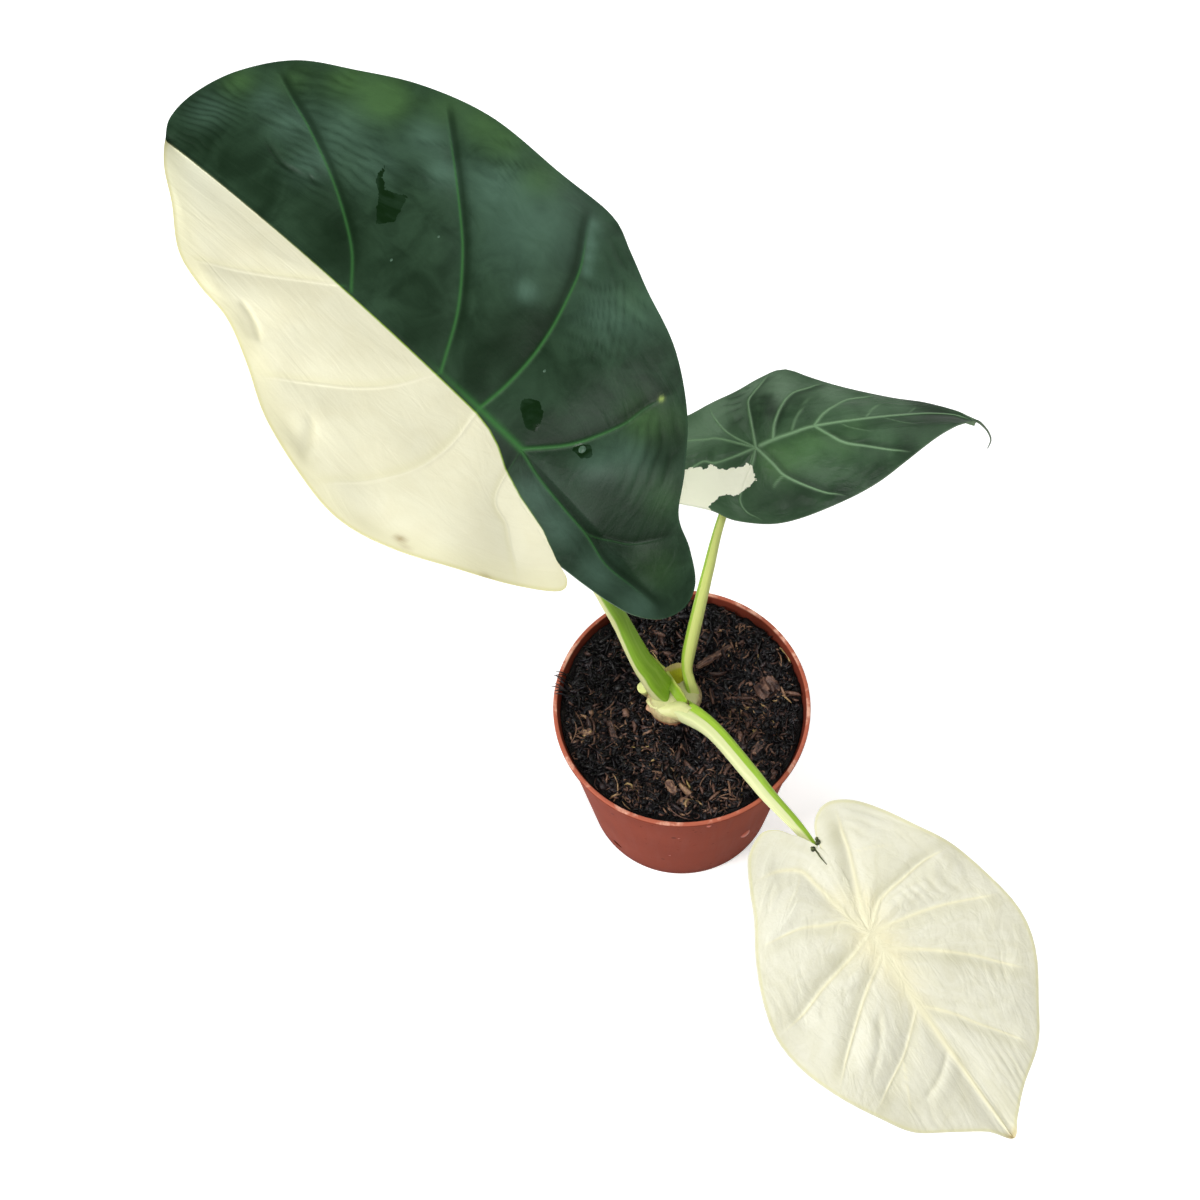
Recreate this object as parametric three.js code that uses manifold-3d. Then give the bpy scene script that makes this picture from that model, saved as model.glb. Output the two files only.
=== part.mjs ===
// A potted aroid house plant: three peltate leaves on long stalks, growing from one short corm
// in a round plastic nursery pot of peat. Millimetres, +Z up. The origin is the centre of the
// pot's flat base, where it meets what it stands on, and the front is -Y.
import * as THREE from 'three';
import { mergeVertices } from 'three/addons/utils/BufferGeometryUtils.js';
import Module from 'manifold-3d';

const wasm = await Module();
wasm.setup();

// Driving dimensions
const potHeight = 107;
const potRimRadius = 60;
const potBaseRadius = 46;
const potWall = 1.3;
const lipWidth = 2;
const lipHeight = 3.2;
const floorThickness = 1.8;
const potSides = 64;
const gap = 0.3;

const baseHoleRadius = 3.2;
const baseHoleCircle = 33;
const baseHoleCount = 8;
const sideHoleRadius = 2.2;
const sideHoleHeight = 14;
const sideHoleCount = 3;
const sideHoleFirst = -137;

const soilLevel = 96;
const soilRings = [0, 6, 12.5, 19, 26, 33, 40, 47, 52];
const cormCentre = [-3, 6];
const cormHoleRadius = 12.4;

const bladeThickness = 0.9;
const marginThickness = 0.65;
const ribRidge = 1.5;
const ribSpread = 5;

// Each blade in its own flat frame: x runs along the midrib from the stalk's joint to the tip,
// y to the left of it. The outline starts and ends at the notch between the two back lobes.
const blades = [
  {
    name: 'leaf_blade_large',
    joint: [-66, 63, 248], heading: 132, pitch: 12, roll: 0,
    foldLeft: 15, foldRight: 13, curlLeft: -0.05, curlRight: -0.08,
    bendFront: 0.08, bendBack: 0.25, twist: 0, tipStart: 222, tipCurl: 0,
    wave: 1.6, waveCount: 7, wavePhase: 0.6, quilt: 1.3, quiltSpread: 9, rings: 11, perSpan: 2,
    outline: [
      [-50, 26], [-63, 23], [-76, 19], [-88, 13], [-98, 3], [-101, -8], [-96, -18], [-83, -25],
      [-69, -30], [-57, -44], [-41, -62], [-20, -76], [5, -86], [24, -95], [42, -102], [73, -100],
      [112, -99], [147, -91], [176, -79], [203, -66], [221, -46], [229, -26], [229, -10], [222, 0],
      [206, 13], [184, 26], [160, 42], [140, 48], [119, 51], [97, 60], [71, 73], [43, 81],
      [19, 83], [-5, 75], [-27, 61], [-47, 45], [-59, 33], [-57, 27],
    ],
    ribs: [
      [[222, 0], [0, 0]],
      [[0, 0], [-25, 6], [-58, 5], [-88, 2]],
      [[0, 0], [-18, 22], [-40, 38]],
      [[-5, 0], [-20, -20], [-31, -60], [-34, -67]],
      [[20, -2], [20, -36], [32, -71], [55, -98]],
      [[43, -2], [63, -32], [101, -67], [135, -94]],
      [[100, -3], [136, -28], [163, -41], [205, -58]],
      [[10, 2], [17, 39], [26, 66], [38, 80]],
      [[43, 4], [63, 39], [92, 62]],
      [[100, 0], [132, 27], [152, 44]],
    ],
  },
  {
    name: 'leaf_blade_middle',
    joint: [38, 73, 212], heading: 3, pitch: 8, roll: 8,
    foldLeft: -8, foldRight: -10, curlLeft: -0.3, curlRight: -0.5,
    bendFront: 0.25, bendBack: 0.15, twist: -0.3, tipStart: 105, tipCurl: 9,
    wave: 0.9, waveCount: 6, wavePhase: 1.2, quilt: 0.9, quiltSpread: 6, rings: 8, perSpan: 2,
    outline: [
      [-32, 2], [-43, -1], [-51, -7], [-50, -14], [-39, -17], [-25, -23], [-15, -30], [1, -34],
      [17, -34], [34, -30], [50, -24], [64, -16], [80, -6], [94, -0.5], [103, 0.6], [110, 1.1],
      [119, 1.6], [119, 2.6], [110, 3.1], [103, 4.2], [96, 14], [84, 21], [70, 24], [56, 29], [43, 34], [31, 39],
      [20, 44], [8, 39], [-8, 30], [-24, 23], [-40, 19], [-50, 13], [-49, 7], [-41, 4],
    ],
    ribs: [
      [[103, 2], [80, 10], [48, 8], [16, 2], [0, 0]],
      [[0, 0], [-20, -2], [-42, -9]],
      [[0, 0], [-15, 8], [-42, 12]],
      [[-3, 2], [-11, 14], [-17, 25]],
      [[0, 4], [-1, 15], [0, 26], [8, 38]],
      [[7, 3], [13, 18], [25, 31], [37, 36]],
      [[28, 8], [36, 17], [55, 27]],
      [[3, -2], [9, -12], [17, -18], [29, -26]],
      [[29, 5], [45, -5], [66, -12]],
    ],
  },
  {
    name: 'leaf_blade_pale',
    joint: [75, -113, 97], heading: -58, pitch: -20, roll: 0,
    foldLeft: 4, foldRight: 4, curlLeft: -0.15, curlRight: -0.15,
    bendFront: 0.12, bendBack: 0.1, twist: 0, tipStart: 113, tipCurl: 0,
    wave: 1.1, waveCount: 7, wavePhase: 0.2, quilt: 1.1, quiltSpread: 6, rings: 9, perSpan: 2,
    outline: [
      [-36, 1], [-50, -1], [-60, -4], [-65, -11], [-64, -19], [-57, -28], [-46, -35], [-34, -41],
      [-20, -50], [-4, -58], [13, -62], [31, -60], [50, -53], [68, -43], [83, -33], [94, -18],
      [104, -4], [114, 5], [106, 12], [96, 22], [85, 38], [71, 48.5], [52, 60], [33, 64.5],
      [12, 62], [-9, 56], [-27, 46], [-41, 38], [-52, 29], [-58, 19], [-57, 11], [-50, 5],
    ],
    ribs: [
      [[114, 5], [74, 2], [38, 0], [0, 0]],
      [[-4, 0], [-22, -5], [-39, -9], [-49, -26]],
      [[-5, 2], [-27, 10], [-46, 20]],
      [[-5, -3], [-20, -26], [-27, -43]],
      [[0, -4], [4, -21], [12, -58]],
      [[9, -4], [18, -18], [40, -44]],
      [[36, -2], [53, -20], [68, -36]],
      [[-6, 3], [-12, 28], [-14, 51]],
      [[0, 4], [9, 27], [23, 60]],
      [[8, 2], [22, 18], [43, 45]],
      [[38, 1], [47, 9], [70, 30]],
    ],
  },
];

// Stalks: points of the centre line from the corm up to the blade's joint, the radius at each
// point, and how deep the groove on the upper side is at the foot and at the top.
const stalks = [
  {
    name: 'leaf_stalk_large', blade: 0, grooveFoot: 0.5, grooveTop: 0.1, steps: 16,
    centre: [[-5, 7, 98], [-13, 9.5, 113], [-18, 15.9, 126], [-25, 23, 146], [-31, 28, 166],
      [-42, 39, 194], [-55, 52, 223], [-64.5, 61.5, 246], [-66, 63, 251]],
    radius: [4.6, 4.7, 4.4, 4.2, 4.1, 3.8, 3.5, 3.3, 3.2],
  },
  {
    name: 'leaf_stalk_middle', blade: 1, grooveFoot: 0.4, grooveTop: 0.1, steps: 14,
    centre: [[2, 9, 98], [3.6, 13.5, 109], [5, 20.3, 122], [10.1, 30.7, 142], [15.2, 41, 161],
      [21, 52.3, 182], [28.7, 63.5, 199], [36.5, 71.5, 210.5], [39, 74, 214]],
    radius: [4, 4, 3.4, 3, 2.6, 2, 1.8, 1.8, 1.8],
  },
  {
    name: 'leaf_stalk_pale', blade: 2, grooveFoot: 0.45, grooveTop: 0.1, steps: 16,
    centre: [[-3, 2, 98], [1.5, -2.5, 107], [13.6, -16.5, 114.5], [27.6, -40.8, 117.5],
      [35.5, -52.3, 115.5], [46, -64, 111], [53, -72, 107], [64, -92, 99.5], [74, -111, 95.3],
      [76.5, -115, 98.5]],
    radius: [4.6, 4.6, 4.4, 3.9, 3.5, 3, 2.5, 2.2, 2, 2],
  },
];

// Shapes and solids
function closedSolid(positions, indices) {
  const geometry = new THREE.BufferGeometry();
  geometry.setAttribute('position', new THREE.Float32BufferAttribute(positions, 3));
  geometry.setIndex(indices);
  return geometry;
}

function toManifold(geometry) {
  const bare = geometry.clone();
  bare.deleteAttribute('normal');
  bare.deleteAttribute('uv');
  const merged = mergeVertices(bare, 1e-4);
  const vertProperties = new Float32Array(merged.getAttribute('position').array);
  const triVerts = new Uint32Array(merged.getIndex().array);
  return new wasm.Manifold(new wasm.Mesh({ numProp: 3, vertProperties, triVerts }));
}

function toGeometry(manifold) {
  const mesh = manifold.getMesh();
  const positions = [];
  for (let i = 0; i < mesh.numVert; i += 1) {
    positions.push(...mesh.vertProperties.slice(i * mesh.numProp, i * mesh.numProp + 3));
  }
  return closedSolid(positions, Array.from(mesh.triVerts));
}

// Joins rings of equal length into a tube with flat ends; each ring turns anticlockwise seen
// from its own end of the tube.
function tubeFromRings(rings) {
  const sides = rings[0].length;
  const positions = rings.flat().flatMap((p) => [p.x, p.y, p.z]);
  const indices = [];
  for (let r = 0; r + 1 < rings.length; r += 1) {
    for (let s = 0; s < sides; s += 1) {
      const a = r * sides + s;
      const b = r * sides + (s + 1) % sides;
      indices.push(a, b, b + sides, a, b + sides, a + sides);
    }
  }
  for (const [ring, turned] of [[0, true], [rings.length - 1, false]]) {
    const centre = rings[ring].reduce((sum, p) => sum.add(p), new THREE.Vector3());
    centre.divideScalar(sides);
    const middle = positions.length / 3;
    positions.push(centre.x, centre.y, centre.z);
    for (let s = 0; s < sides; s += 1) {
      const a = ring * sides + s;
      const b = ring * sides + (s + 1) % sides;
      indices.push(...(turned ? [middle, b, a] : [middle, a, b]));
    }
  }
  return closedSolid(positions, indices);
}

const radians = THREE.MathUtils.degToRad;

// Pot: a lathed shell with a turned-out lip, and drain holes in its floor and low in its wall.
function innerRadius(z) {
  const share = (z - floorThickness) / (potHeight - lipHeight - floorThickness);
  return THREE.MathUtils.lerp(potBaseRadius - potWall, potRimRadius - lipWidth - potWall, share);
}

function potGeometry() {
  const shoulder = potRimRadius - lipWidth;
  const profile = [
    [0, 0], [potBaseRadius - 1.5, 0], [potBaseRadius, 1.2],
    [shoulder, potHeight - lipHeight], [potRimRadius, potHeight - lipHeight + 0.4],
    [potRimRadius, potHeight - 0.6], [potRimRadius - 0.6, potHeight],
    [shoulder - potWall + 0.5, potHeight], [shoulder - potWall, potHeight - 0.6],
    [innerRadius(potHeight - lipHeight), potHeight - lipHeight],
    [innerRadius(floorThickness + 1), floorThickness + 1],
    [innerRadius(floorThickness) - 1, floorThickness], [0, floorThickness],
  ];
  const points = profile.map(([r, z]) => new THREE.Vector2(r, z));
  return new THREE.LatheGeometry(points, potSides).rotateX(Math.PI / 2);
}

function drainHoles() {
  const holes = [];
  for (let i = 0; i < baseHoleCount; i += 1) {
    const angle = (i + 0.5) * 2 * Math.PI / baseHoleCount;
    const hole = new THREE.CylinderGeometry(baseHoleRadius, baseHoleRadius, 12, 12);
    hole.rotateX(Math.PI / 2);
    hole.translate(baseHoleCircle * Math.cos(angle), baseHoleCircle * Math.sin(angle), 0);
    holes.push(hole);
  }
  for (let i = 0; i < sideHoleCount; i += 1) {
    const hole = new THREE.CylinderGeometry(sideHoleRadius, sideHoleRadius, 12, 10);
    hole.rotateZ(Math.PI / 2);
    hole.translate(innerRadius(sideHoleHeight), 0, sideHoleHeight);
    hole.rotateZ(radians(sideHoleFirst + i * 360 / sideHoleCount));
    holes.push(hole);
  }
  return holes;
}

// Blade surface
function arcAt(length, slope, curl) {
  if (Math.abs(curl) < 1e-9) {
    return [length * Math.cos(slope), length * Math.sin(slope)];
  }
  const end = slope + curl * length;
  return [(Math.sin(end) - Math.sin(slope)) / curl, (Math.cos(slope) - Math.cos(end)) / curl];
}

function midribAt(leaf, x) {
  const bend = radians(x < 0 ? leaf.bendBack : leaf.bendFront);
  const length = Math.min(Math.abs(x), leaf.tipStart);
  let [along, up] = arcAt(length, 0, -bend);
  let slope = -bend * length;
  const extra = Math.abs(x) - length;
  if (extra > 0) {
    const tip = radians(leaf.tipCurl + leaf.bendFront);
    const [ahead, rise] = arcAt(extra, slope, -tip);
    along += ahead;
    up += rise;
    slope -= tip * extra;
  }
  return x < 0 ? { along: -along, up, slope: -slope } : { along, up, slope };
}

function ribDistance(leaf, x, y) {
  const point = new THREE.Vector3(x, y, 0);
  const nearest = new THREE.Vector3();
  let least = Infinity;
  for (const rib of leaf.ribs) {
    for (let i = 0; i + 1 < rib.length; i += 1) {
      const from = new THREE.Vector3(...rib[i], 0);
      const to = new THREE.Vector3(...rib[i + 1], 0);
      new THREE.Line3(from, to).closestPointToPoint(point, true, nearest);
      least = Math.min(least, nearest.distanceTo(point));
    }
  }
  return least;
}

// Height of the blade above its smooth surface: the margin waves, and the ribs lie in furrows.
function reliefAt(leaf, x, y, share) {
  const turn = Math.atan2(y, x);
  const wave = leaf.wave * share ** 2 * Math.sin(leaf.waveCount * turn + leaf.wavePhase);
  const furrow = Math.exp(-((ribDistance(leaf, x, y) / leaf.quiltSpread) ** 2));
  return wave + leaf.quilt * share * (1 - share) * 4 * (0.5 - furrow);
}

// Folds and curls the two halves about the midrib, bends the midrib and places the blade.
function bladePoint(leaf, x, y, lift) {
  const twist = radians(leaf.twist) * Math.max(x, -60);
  const left = y >= 0;
  const slope = left ? radians(leaf.foldLeft) + twist : radians(leaf.foldRight) - twist;
  const curl = radians(left ? leaf.curlLeft : leaf.curlRight);
  const [side, height] = arcAt(Math.abs(y), slope, curl);
  const rib = midribAt(leaf, x);
  const up = height + lift;
  const point = new THREE.Vector3(
    rib.along - Math.sin(rib.slope) * up,
    left ? side : -side,
    rib.up + Math.cos(rib.slope) * up,
  );
  return point.applyMatrix4(bladeMatrix(leaf));
}

function bladeMatrix(leaf) {
  const turn = new THREE.Euler(radians(leaf.roll), -radians(leaf.pitch), radians(leaf.heading), 'ZYX');
  const matrix = new THREE.Matrix4().makeRotationFromEuler(turn);
  return matrix.setPosition(...leaf.joint);
}

function bladeOutline(leaf) {
  const points = leaf.outline.map(([x, y]) => new THREE.Vector3(x, y, 0));
  const curve = new THREE.CatmullRomCurve3(points, true, 'catmullrom', 0.5);
  return curve.getPoints(leaf.outline.length * leaf.perSpan).slice(0, -1);
}

// A blade between an upper and a lower surface on one grid: a fan round the joint, then rings out
// to the margin. Above and below give each surface's distance from the blade's upper face.
function bladeSheet(leaf, rings, above, below) {
  const outline = bladeOutline(leaf);
  const sides = outline.length;
  const upper = [];
  const lower = [];
  const step = 0.5;
  const addPair = (x, y, share) => {
    const point = bladePoint(leaf, x, y, reliefAt(leaf, x, y, share));
    const ahead = bladePoint(leaf, x + step, y, reliefAt(leaf, x + step, y, share));
    const aside = bladePoint(leaf, x, y + step, reliefAt(leaf, x, y + step, share));
    const normal = ahead.sub(point).cross(aside.sub(point)).normalize();
    upper.push(point.clone().addScaledVector(normal, above));
    lower.push(point.addScaledVector(normal, -below(x, y, share)));
  };
  addPair(0, 0, 0);
  for (let r = 1; r <= rings; r += 1) {
    const share = r / leaf.rings;
    outline.forEach((p) => addPair(p.x * share, p.y * share, share));
  }
  const positions = [...upper, ...lower].flatMap((p) => [p.x, p.y, p.z]);
  const indices = [];
  const under = upper.length;
  const face = (a, b, c) => indices.push(a, b, c, under + a, under + c, under + b);
  for (let s = 0; s < sides; s += 1) {
    const next = (s + 1) % sides;
    face(0, 1 + s, 1 + next);
    for (let r = 0; r + 1 < rings; r += 1) {
      const a = 1 + r * sides + s;
      const b = 1 + r * sides + next;
      face(a, a + sides, b + sides);
      face(a, b + sides, b);
    }
    const edge = 1 + (rings - 1) * sides;
    indices.push(edge + s, under + edge + s, under + edge + next);
    indices.push(edge + s, under + edge + next, edge + next);
  }
  return closedSolid(positions, indices);
}

function bladeDepth(leaf) {
  return (x, y, share) => {
    const plain = THREE.MathUtils.lerp(bladeThickness, marginThickness, share);
    const ridge = Math.exp(-((ribDistance(leaf, x, y) / ribSpread) ** 2));
    return plain + ribRidge * (1 - share) * ridge;
  };
}

// What a stalk's top is cut away by: the space from just under the blade's joint upwards.
function jointCutter(leaf) {
  const depth = bladeDepth(leaf);
  return bladeSheet(leaf, 3, 14, (x, y, share) => depth(x, y, share) + gap);
}

// Stalk: rings carried along a smooth centre line, with a groove on the upper side that is
// widest open at the foot.
function stalkGeometry(stalk, grow) {
  const sides = 12;
  const points = stalk.centre.map((p) => new THREE.Vector3(...p));
  const curve = new THREE.CatmullRomCurve3(points, false, 'catmullrom', 0.5);
  const rings = [];
  for (let i = 0; i <= stalk.steps; i += 1) {
    const share = i / stalk.steps;
    const middle = curve.getPoint(share);
    const tangent = curve.getTangent(share);
    const upper = new THREE.Vector3(0, 0, 1).addScaledVector(tangent, -tangent.z).normalize();
    const across = new THREE.Vector3().crossVectors(tangent, upper);
    const place = share * (stalk.radius.length - 1);
    const low = Math.min(Math.floor(place), stalk.radius.length - 2);
    const radius = THREE.MathUtils.lerp(stalk.radius[low], stalk.radius[low + 1], place - low);
    const groove = THREE.MathUtils.lerp(stalk.grooveFoot, stalk.grooveTop, Math.min(1, share * 2));
    const ring = [];
    for (let s = 0; s < sides; s += 1) {
      const angle = s * 2 * Math.PI / sides;
      const away = Math.min(angle, 2 * Math.PI - angle);
      const reach = radius * (1 - groove * Math.exp(-((away / 0.55) ** 2))) + grow;
      ring.push(middle.clone()
        .addScaledVector(upper, reach * Math.cos(angle))
        .addScaledVector(across, reach * Math.sin(angle)));
    }
    rings.push(ring);
  }
  return tubeFromRings(rings);
}

// Corm: a squat ringed stem base, with the cut end of an old stalk on its left.
function cormSolid(grow) {
  const profile = [
    [8.5, 74], [10.5, 82], [11.3, 90], [11.6, 95], [10.6, 96.6], [11, 98.6], [9.9, 100.2],
    [10.1, 102.2], [8.6, 104], [6.4, 105.6], [3, 106.6],
  ];
  const points = [new THREE.Vector2(0, profile[0][1] - grow)];
  profile.forEach(([r, z], i) => {
    const rise = i > 7 ? grow : 0;
    points.push(new THREE.Vector2(r + grow, i === 0 ? z - grow : z + rise));
  });
  points.push(new THREE.Vector2(0, 106.9 + grow));
  const body = new THREE.LatheGeometry(points, 20).rotateX(Math.PI / 2);
  body.translate(cormCentre[0], cormCentre[1], 0);
  const stubFoot = new THREE.Vector3(-9, 8, 95);
  const stubTop = new THREE.Vector3(-17.6, 10.8, 106);
  const length = stubTop.distanceTo(stubFoot) + grow;
  const stub = new THREE.CylinderGeometry(2.3 + grow, 2.5 + grow, length, 10);
  stub.translate(0, length / 2, 0);
  const direction = stubTop.clone().sub(stubFoot).normalize();
  const turn = new THREE.Quaternion().setFromUnitVectors(new THREE.Vector3(0, 1, 0), direction);
  stub.applyQuaternion(turn);
  stub.translate(stubFoot.x, stubFoot.y, stubFoot.z);
  return toManifold(body).add(toManifold(stub));
}

// Soil: fills the pot to a rough, slightly sloping top, with a plain hole for the corm and a few
// bark chips and twigs that stand out of it.
function soilHeight(x, y) {
  const slope = 0.079 * x - 0.034 * y;
  const hollow = -5 * Math.exp(-((x - 2.7) ** 2 + (y + 17) ** 2) / 90);
  const lumps = 0.8 * Math.sin(0.31 * x + 1.3) * Math.cos(0.27 * y)
    + 0.6 * Math.sin(0.53 * x - 0.41 * y + 0.7);
  return soilLevel + slope + hollow + lumps;
}

function soilBody() {
  const rings = [];
  const ringAt = (radius, height) => {
    const ring = [];
    for (let s = 0; s < potSides; s += 1) {
      const angle = s * 2 * Math.PI / potSides;
      const x = radius * Math.sin(angle);
      const y = -radius * Math.cos(angle);
      ring.push(new THREE.Vector3(x, y, height(x, y)));
    }
    return ring;
  };
  const bottom = floorThickness + gap;
  rings.push(ringAt(innerRadius(bottom) - 1 - gap * 2, () => bottom));
  rings.push(ringAt(innerRadius(bottom + 1.5) - gap, () => bottom + 1.5));
  const wallRadius = innerRadius(soilLevel - 2) - gap;
  const edge = ringAt(wallRadius, soilHeight);
  edge.forEach((p) => {
    const radius = innerRadius(p.z) - gap;
    p.x *= radius / wallRadius;
    p.y *= radius / wallRadius;
  });
  rings.push(edge);
  soilRings.slice(1).reverse().forEach((radius) => rings.push(ringAt(radius, soilHeight)));
  return tubeFromRings(rings);
}

// Chips: centre on the soil, size, turn about +Z and tilt of each.
const chips = [
  { at: [41, 7], size: [12, 9, 6], turn: 25, tilt: 12 },
  { at: [18, 27], size: [21, 3, 3], turn: 27, tilt: 4 },
  { at: [-33, -7], size: [13, 3.5, 3.5], turn: 104, tilt: 8 },
  { at: [-8, -38], size: [8, 4, 3.5], turn: 110, tilt: -6 },
  { at: [-24, 34], size: [11, 3, 3], turn: -20, tilt: 9 },
  { at: [34, -22], size: [9, 4, 3], turn: 50, tilt: 5 },
];

function soilSolid() {
  let soil = toManifold(soilBody());
  const hole = new THREE.CylinderGeometry(cormHoleRadius, cormHoleRadius, 60, 24);
  hole.rotateX(Math.PI / 2);
  hole.translate(cormCentre[0], cormCentre[1], 73 + 30);
  soil = soil.subtract(toManifold(hole));
  for (const chip of chips) {
    const block = new THREE.CylinderGeometry(0.36, 0.5, 1, 6, 1).rotateZ(Math.PI / 2);
    block.scale(...chip.size);
    block.rotateY(-radians(chip.tilt));
    block.rotateZ(radians(chip.turn));
    const height = soilHeight(...chip.at) + chip.size[2] * 0.12;
    block.translate(chip.at[0], chip.at[1], height);
    soil = soil.add(toManifold(block));
  }
  return soil;
}

// Finishes
const finishes = {
  pot: { color: 0x9c4a38, roughness: 0.5, metalness: 0 },
  soil: { color: 0x2a211c, roughness: 0.95, metalness: 0 },
  corm: { color: 0x8d8360, roughness: 0.7, metalness: 0 },
  leaf_stalk_large: { color: 0x84a03c, roughness: 0.45, metalness: 0 },
  leaf_stalk_middle: { color: 0x9db351, roughness: 0.45, metalness: 0 },
  leaf_stalk_pale: { color: 0xd0d69a, roughness: 0.45, metalness: 0 },
  leaf_blade_large: { color: 0x304439, roughness: 0.4, metalness: 0 },
  leaf_blade_middle: { color: 0x4c6650, roughness: 0.4, metalness: 0 },
  leaf_blade_pale: { color: 0xebe7ce, roughness: 0.45, metalness: 0 },
};

const plant = new THREE.Group();

function addPart(name, geometry) {
  geometry.computeVertexNormals();
  const mesh = new THREE.Mesh(geometry, new THREE.MeshStandardMaterial(finishes[name]));
  mesh.name = name;
  plant.add(mesh);
}

let pot = toManifold(potGeometry());
for (const hole of drainHoles()) {
  pot = pot.subtract(toManifold(hole));
}
addPart('pot', toGeometry(pot));
addPart('soil', toGeometry(soilSolid()));
addPart('corm', toGeometry(cormSolid(0)));

const cleared = [cormSolid(gap)];
for (const stalk of stalks) {
  let solid = toManifold(stalkGeometry(stalk, 0));
  solid = solid.subtract(toManifold(jointCutter(blades[stalk.blade])));
  for (const neighbour of cleared) {
    solid = solid.subtract(neighbour);
  }
  cleared.push(toManifold(stalkGeometry(stalk, gap)));
  addPart(stalk.name, toGeometry(solid));
}
for (const leaf of blades) {
  addPart(leaf.name, bladeSheet(leaf, leaf.rings, 0, bladeDepth(leaf)));
}

export default plant;
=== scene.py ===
import math

import bmesh
import bpy
import numpy as np
from mathutils import Matrix, Vector


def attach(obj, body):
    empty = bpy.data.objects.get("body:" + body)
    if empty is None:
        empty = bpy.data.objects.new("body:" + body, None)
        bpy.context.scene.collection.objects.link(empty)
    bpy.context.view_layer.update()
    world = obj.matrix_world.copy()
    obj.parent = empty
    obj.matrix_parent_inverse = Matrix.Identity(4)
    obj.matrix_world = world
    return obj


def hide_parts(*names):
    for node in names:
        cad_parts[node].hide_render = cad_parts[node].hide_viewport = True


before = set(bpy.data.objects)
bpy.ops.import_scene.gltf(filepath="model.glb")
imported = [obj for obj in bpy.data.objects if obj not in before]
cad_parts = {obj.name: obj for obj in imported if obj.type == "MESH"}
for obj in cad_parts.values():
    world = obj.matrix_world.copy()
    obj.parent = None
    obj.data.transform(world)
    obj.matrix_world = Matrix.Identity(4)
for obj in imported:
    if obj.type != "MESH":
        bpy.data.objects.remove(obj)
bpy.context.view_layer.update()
print("frame loaded, nodes:", sorted(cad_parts))

millimetre = 0.001  # shapes are worked out in millimetres and go into the meshes in metres
weldDistance = 2e-6  # points nearer to each other than this, in metres, become one
latticeSize = 64  # values along each side of the table behind the lattice noise
tiny = 1e-9  # keeps a division off zero


# Camera: 60 mm lens, looking 63 degrees down on the plant from the front
camera = {
    "place": (-34.382, -376.285, 960.921),
    "tilt": 90 - 63.07,
    "roll": -4.15,
    "lens": 60,
    "sensor": 36,
}


def makeCamera(look):
    # a camera that looks straight down, turned by the roll, then tilted up and put in its place
    data = bpy.data.cameras.new("camera")
    data.lens = look["lens"]
    data.sensor_width = look["sensor"]
    data.clip_start = 0.05
    data.clip_end = 20
    eye = bpy.data.objects.new("camera", data)
    bpy.context.scene.collection.objects.link(eye)
    place = Matrix.Translation([v * millimetre for v in look["place"]])
    tilt = Matrix.Rotation(math.radians(look["tilt"]), 4, "X")
    roll = Matrix.Rotation(math.radians(look["roll"]), 4, "Z")
    eye.matrix_world = place @ tilt @ roll
    bpy.context.scene.camera = eye


makeCamera(camera)


# Mesh helpers
def gridFaces(rows, columns, closed, offset=0, flip=False):
    # quads between neighbouring rows and columns of a grid, the last column joined to the first if closed
    down = np.arange(rows - 1)[:, None] * columns
    across = np.arange(columns if closed else columns - 1)[None, :]
    after = (across + 1) % columns
    quads = np.stack([down + across, down + after, down + columns + after, down + columns + across], -1)
    quads = quads.reshape(-1, 4) + offset
    return quads[:, ::-1] if flip else quads


def makePiece(name, points, faces, material, node=None, values=None, uv=None, sharp=None):
    mesh = bpy.data.meshes.new(name)
    mesh.from_pydata(np.asarray(points, float) * millimetre, [], faces)
    for key, data in (values or {}).items():
        layer = mesh.attributes.new(key, "FLOAT", "POINT")
        layer.data.foreach_set("value", np.asarray(data, np.float32).ravel())
    if uv is not None:
        layer = mesh.uv_layers.new(name="grain")
        layer.data.foreach_set("uv", np.asarray(uv, np.float32).ravel())
    welder = bmesh.new()
    welder.from_mesh(mesh)
    bmesh.ops.remove_doubles(welder, verts=welder.verts, dist=weldDistance)
    bmesh.ops.recalc_face_normals(welder, faces=welder.faces)
    welder.to_mesh(mesh)
    welder.free()
    mesh.shade_smooth()
    if sharp:
        mesh.set_sharp_from_angle(angle=math.radians(sharp))
    mesh.materials.append(material)
    piece = bpy.data.objects.new(name, mesh)
    bpy.context.scene.collection.objects.link(piece)
    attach(piece, "root")
    if node:
        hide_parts(node)
    print("made", name, len(mesh.polygons), "faces")
    return piece


def smoothLine(points, count, closed=False):
    # uniform Catmull-Rom curve: each span is a cubic, and its slope at a point is half the step between
    # the points before and after it
    points = np.asarray(points, float)
    if closed:
        padded = np.vstack([points[-1], points, points[:2]])
        spans = len(points)
    else:
        padded = np.vstack([2 * points[0] - points[1], points, 2 * points[-1] - points[-2]])
        spans = len(points) - 1
    place = np.linspace(0, spans, count, endpoint=not closed)
    span = np.minimum(place.astype(int), spans - 1)
    t = (place - span)[:, None]
    a, b, c, d = (padded[span + k] for k in range(4))
    return b + 0.5 * t * (c - a + t * (2 * a - 5 * b + 4 * c - d + t * (3 * (b - c) + d - a)))


def lengthsAlong(line):
    # at each point, the sum of the steps from the start of the line
    return np.concatenate([[0], np.cumsum(np.linalg.norm(np.diff(line, axis=0), axis=1))])


def resample(line, shares):
    # points at the given shares of the line's length
    lengths = lengthsAlong(line)
    wanted = np.asarray(shares) * lengths[-1]
    return np.stack([np.interp(wanted, lengths, line[:, k]) for k in range(line.shape[1])], -1)


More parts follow.
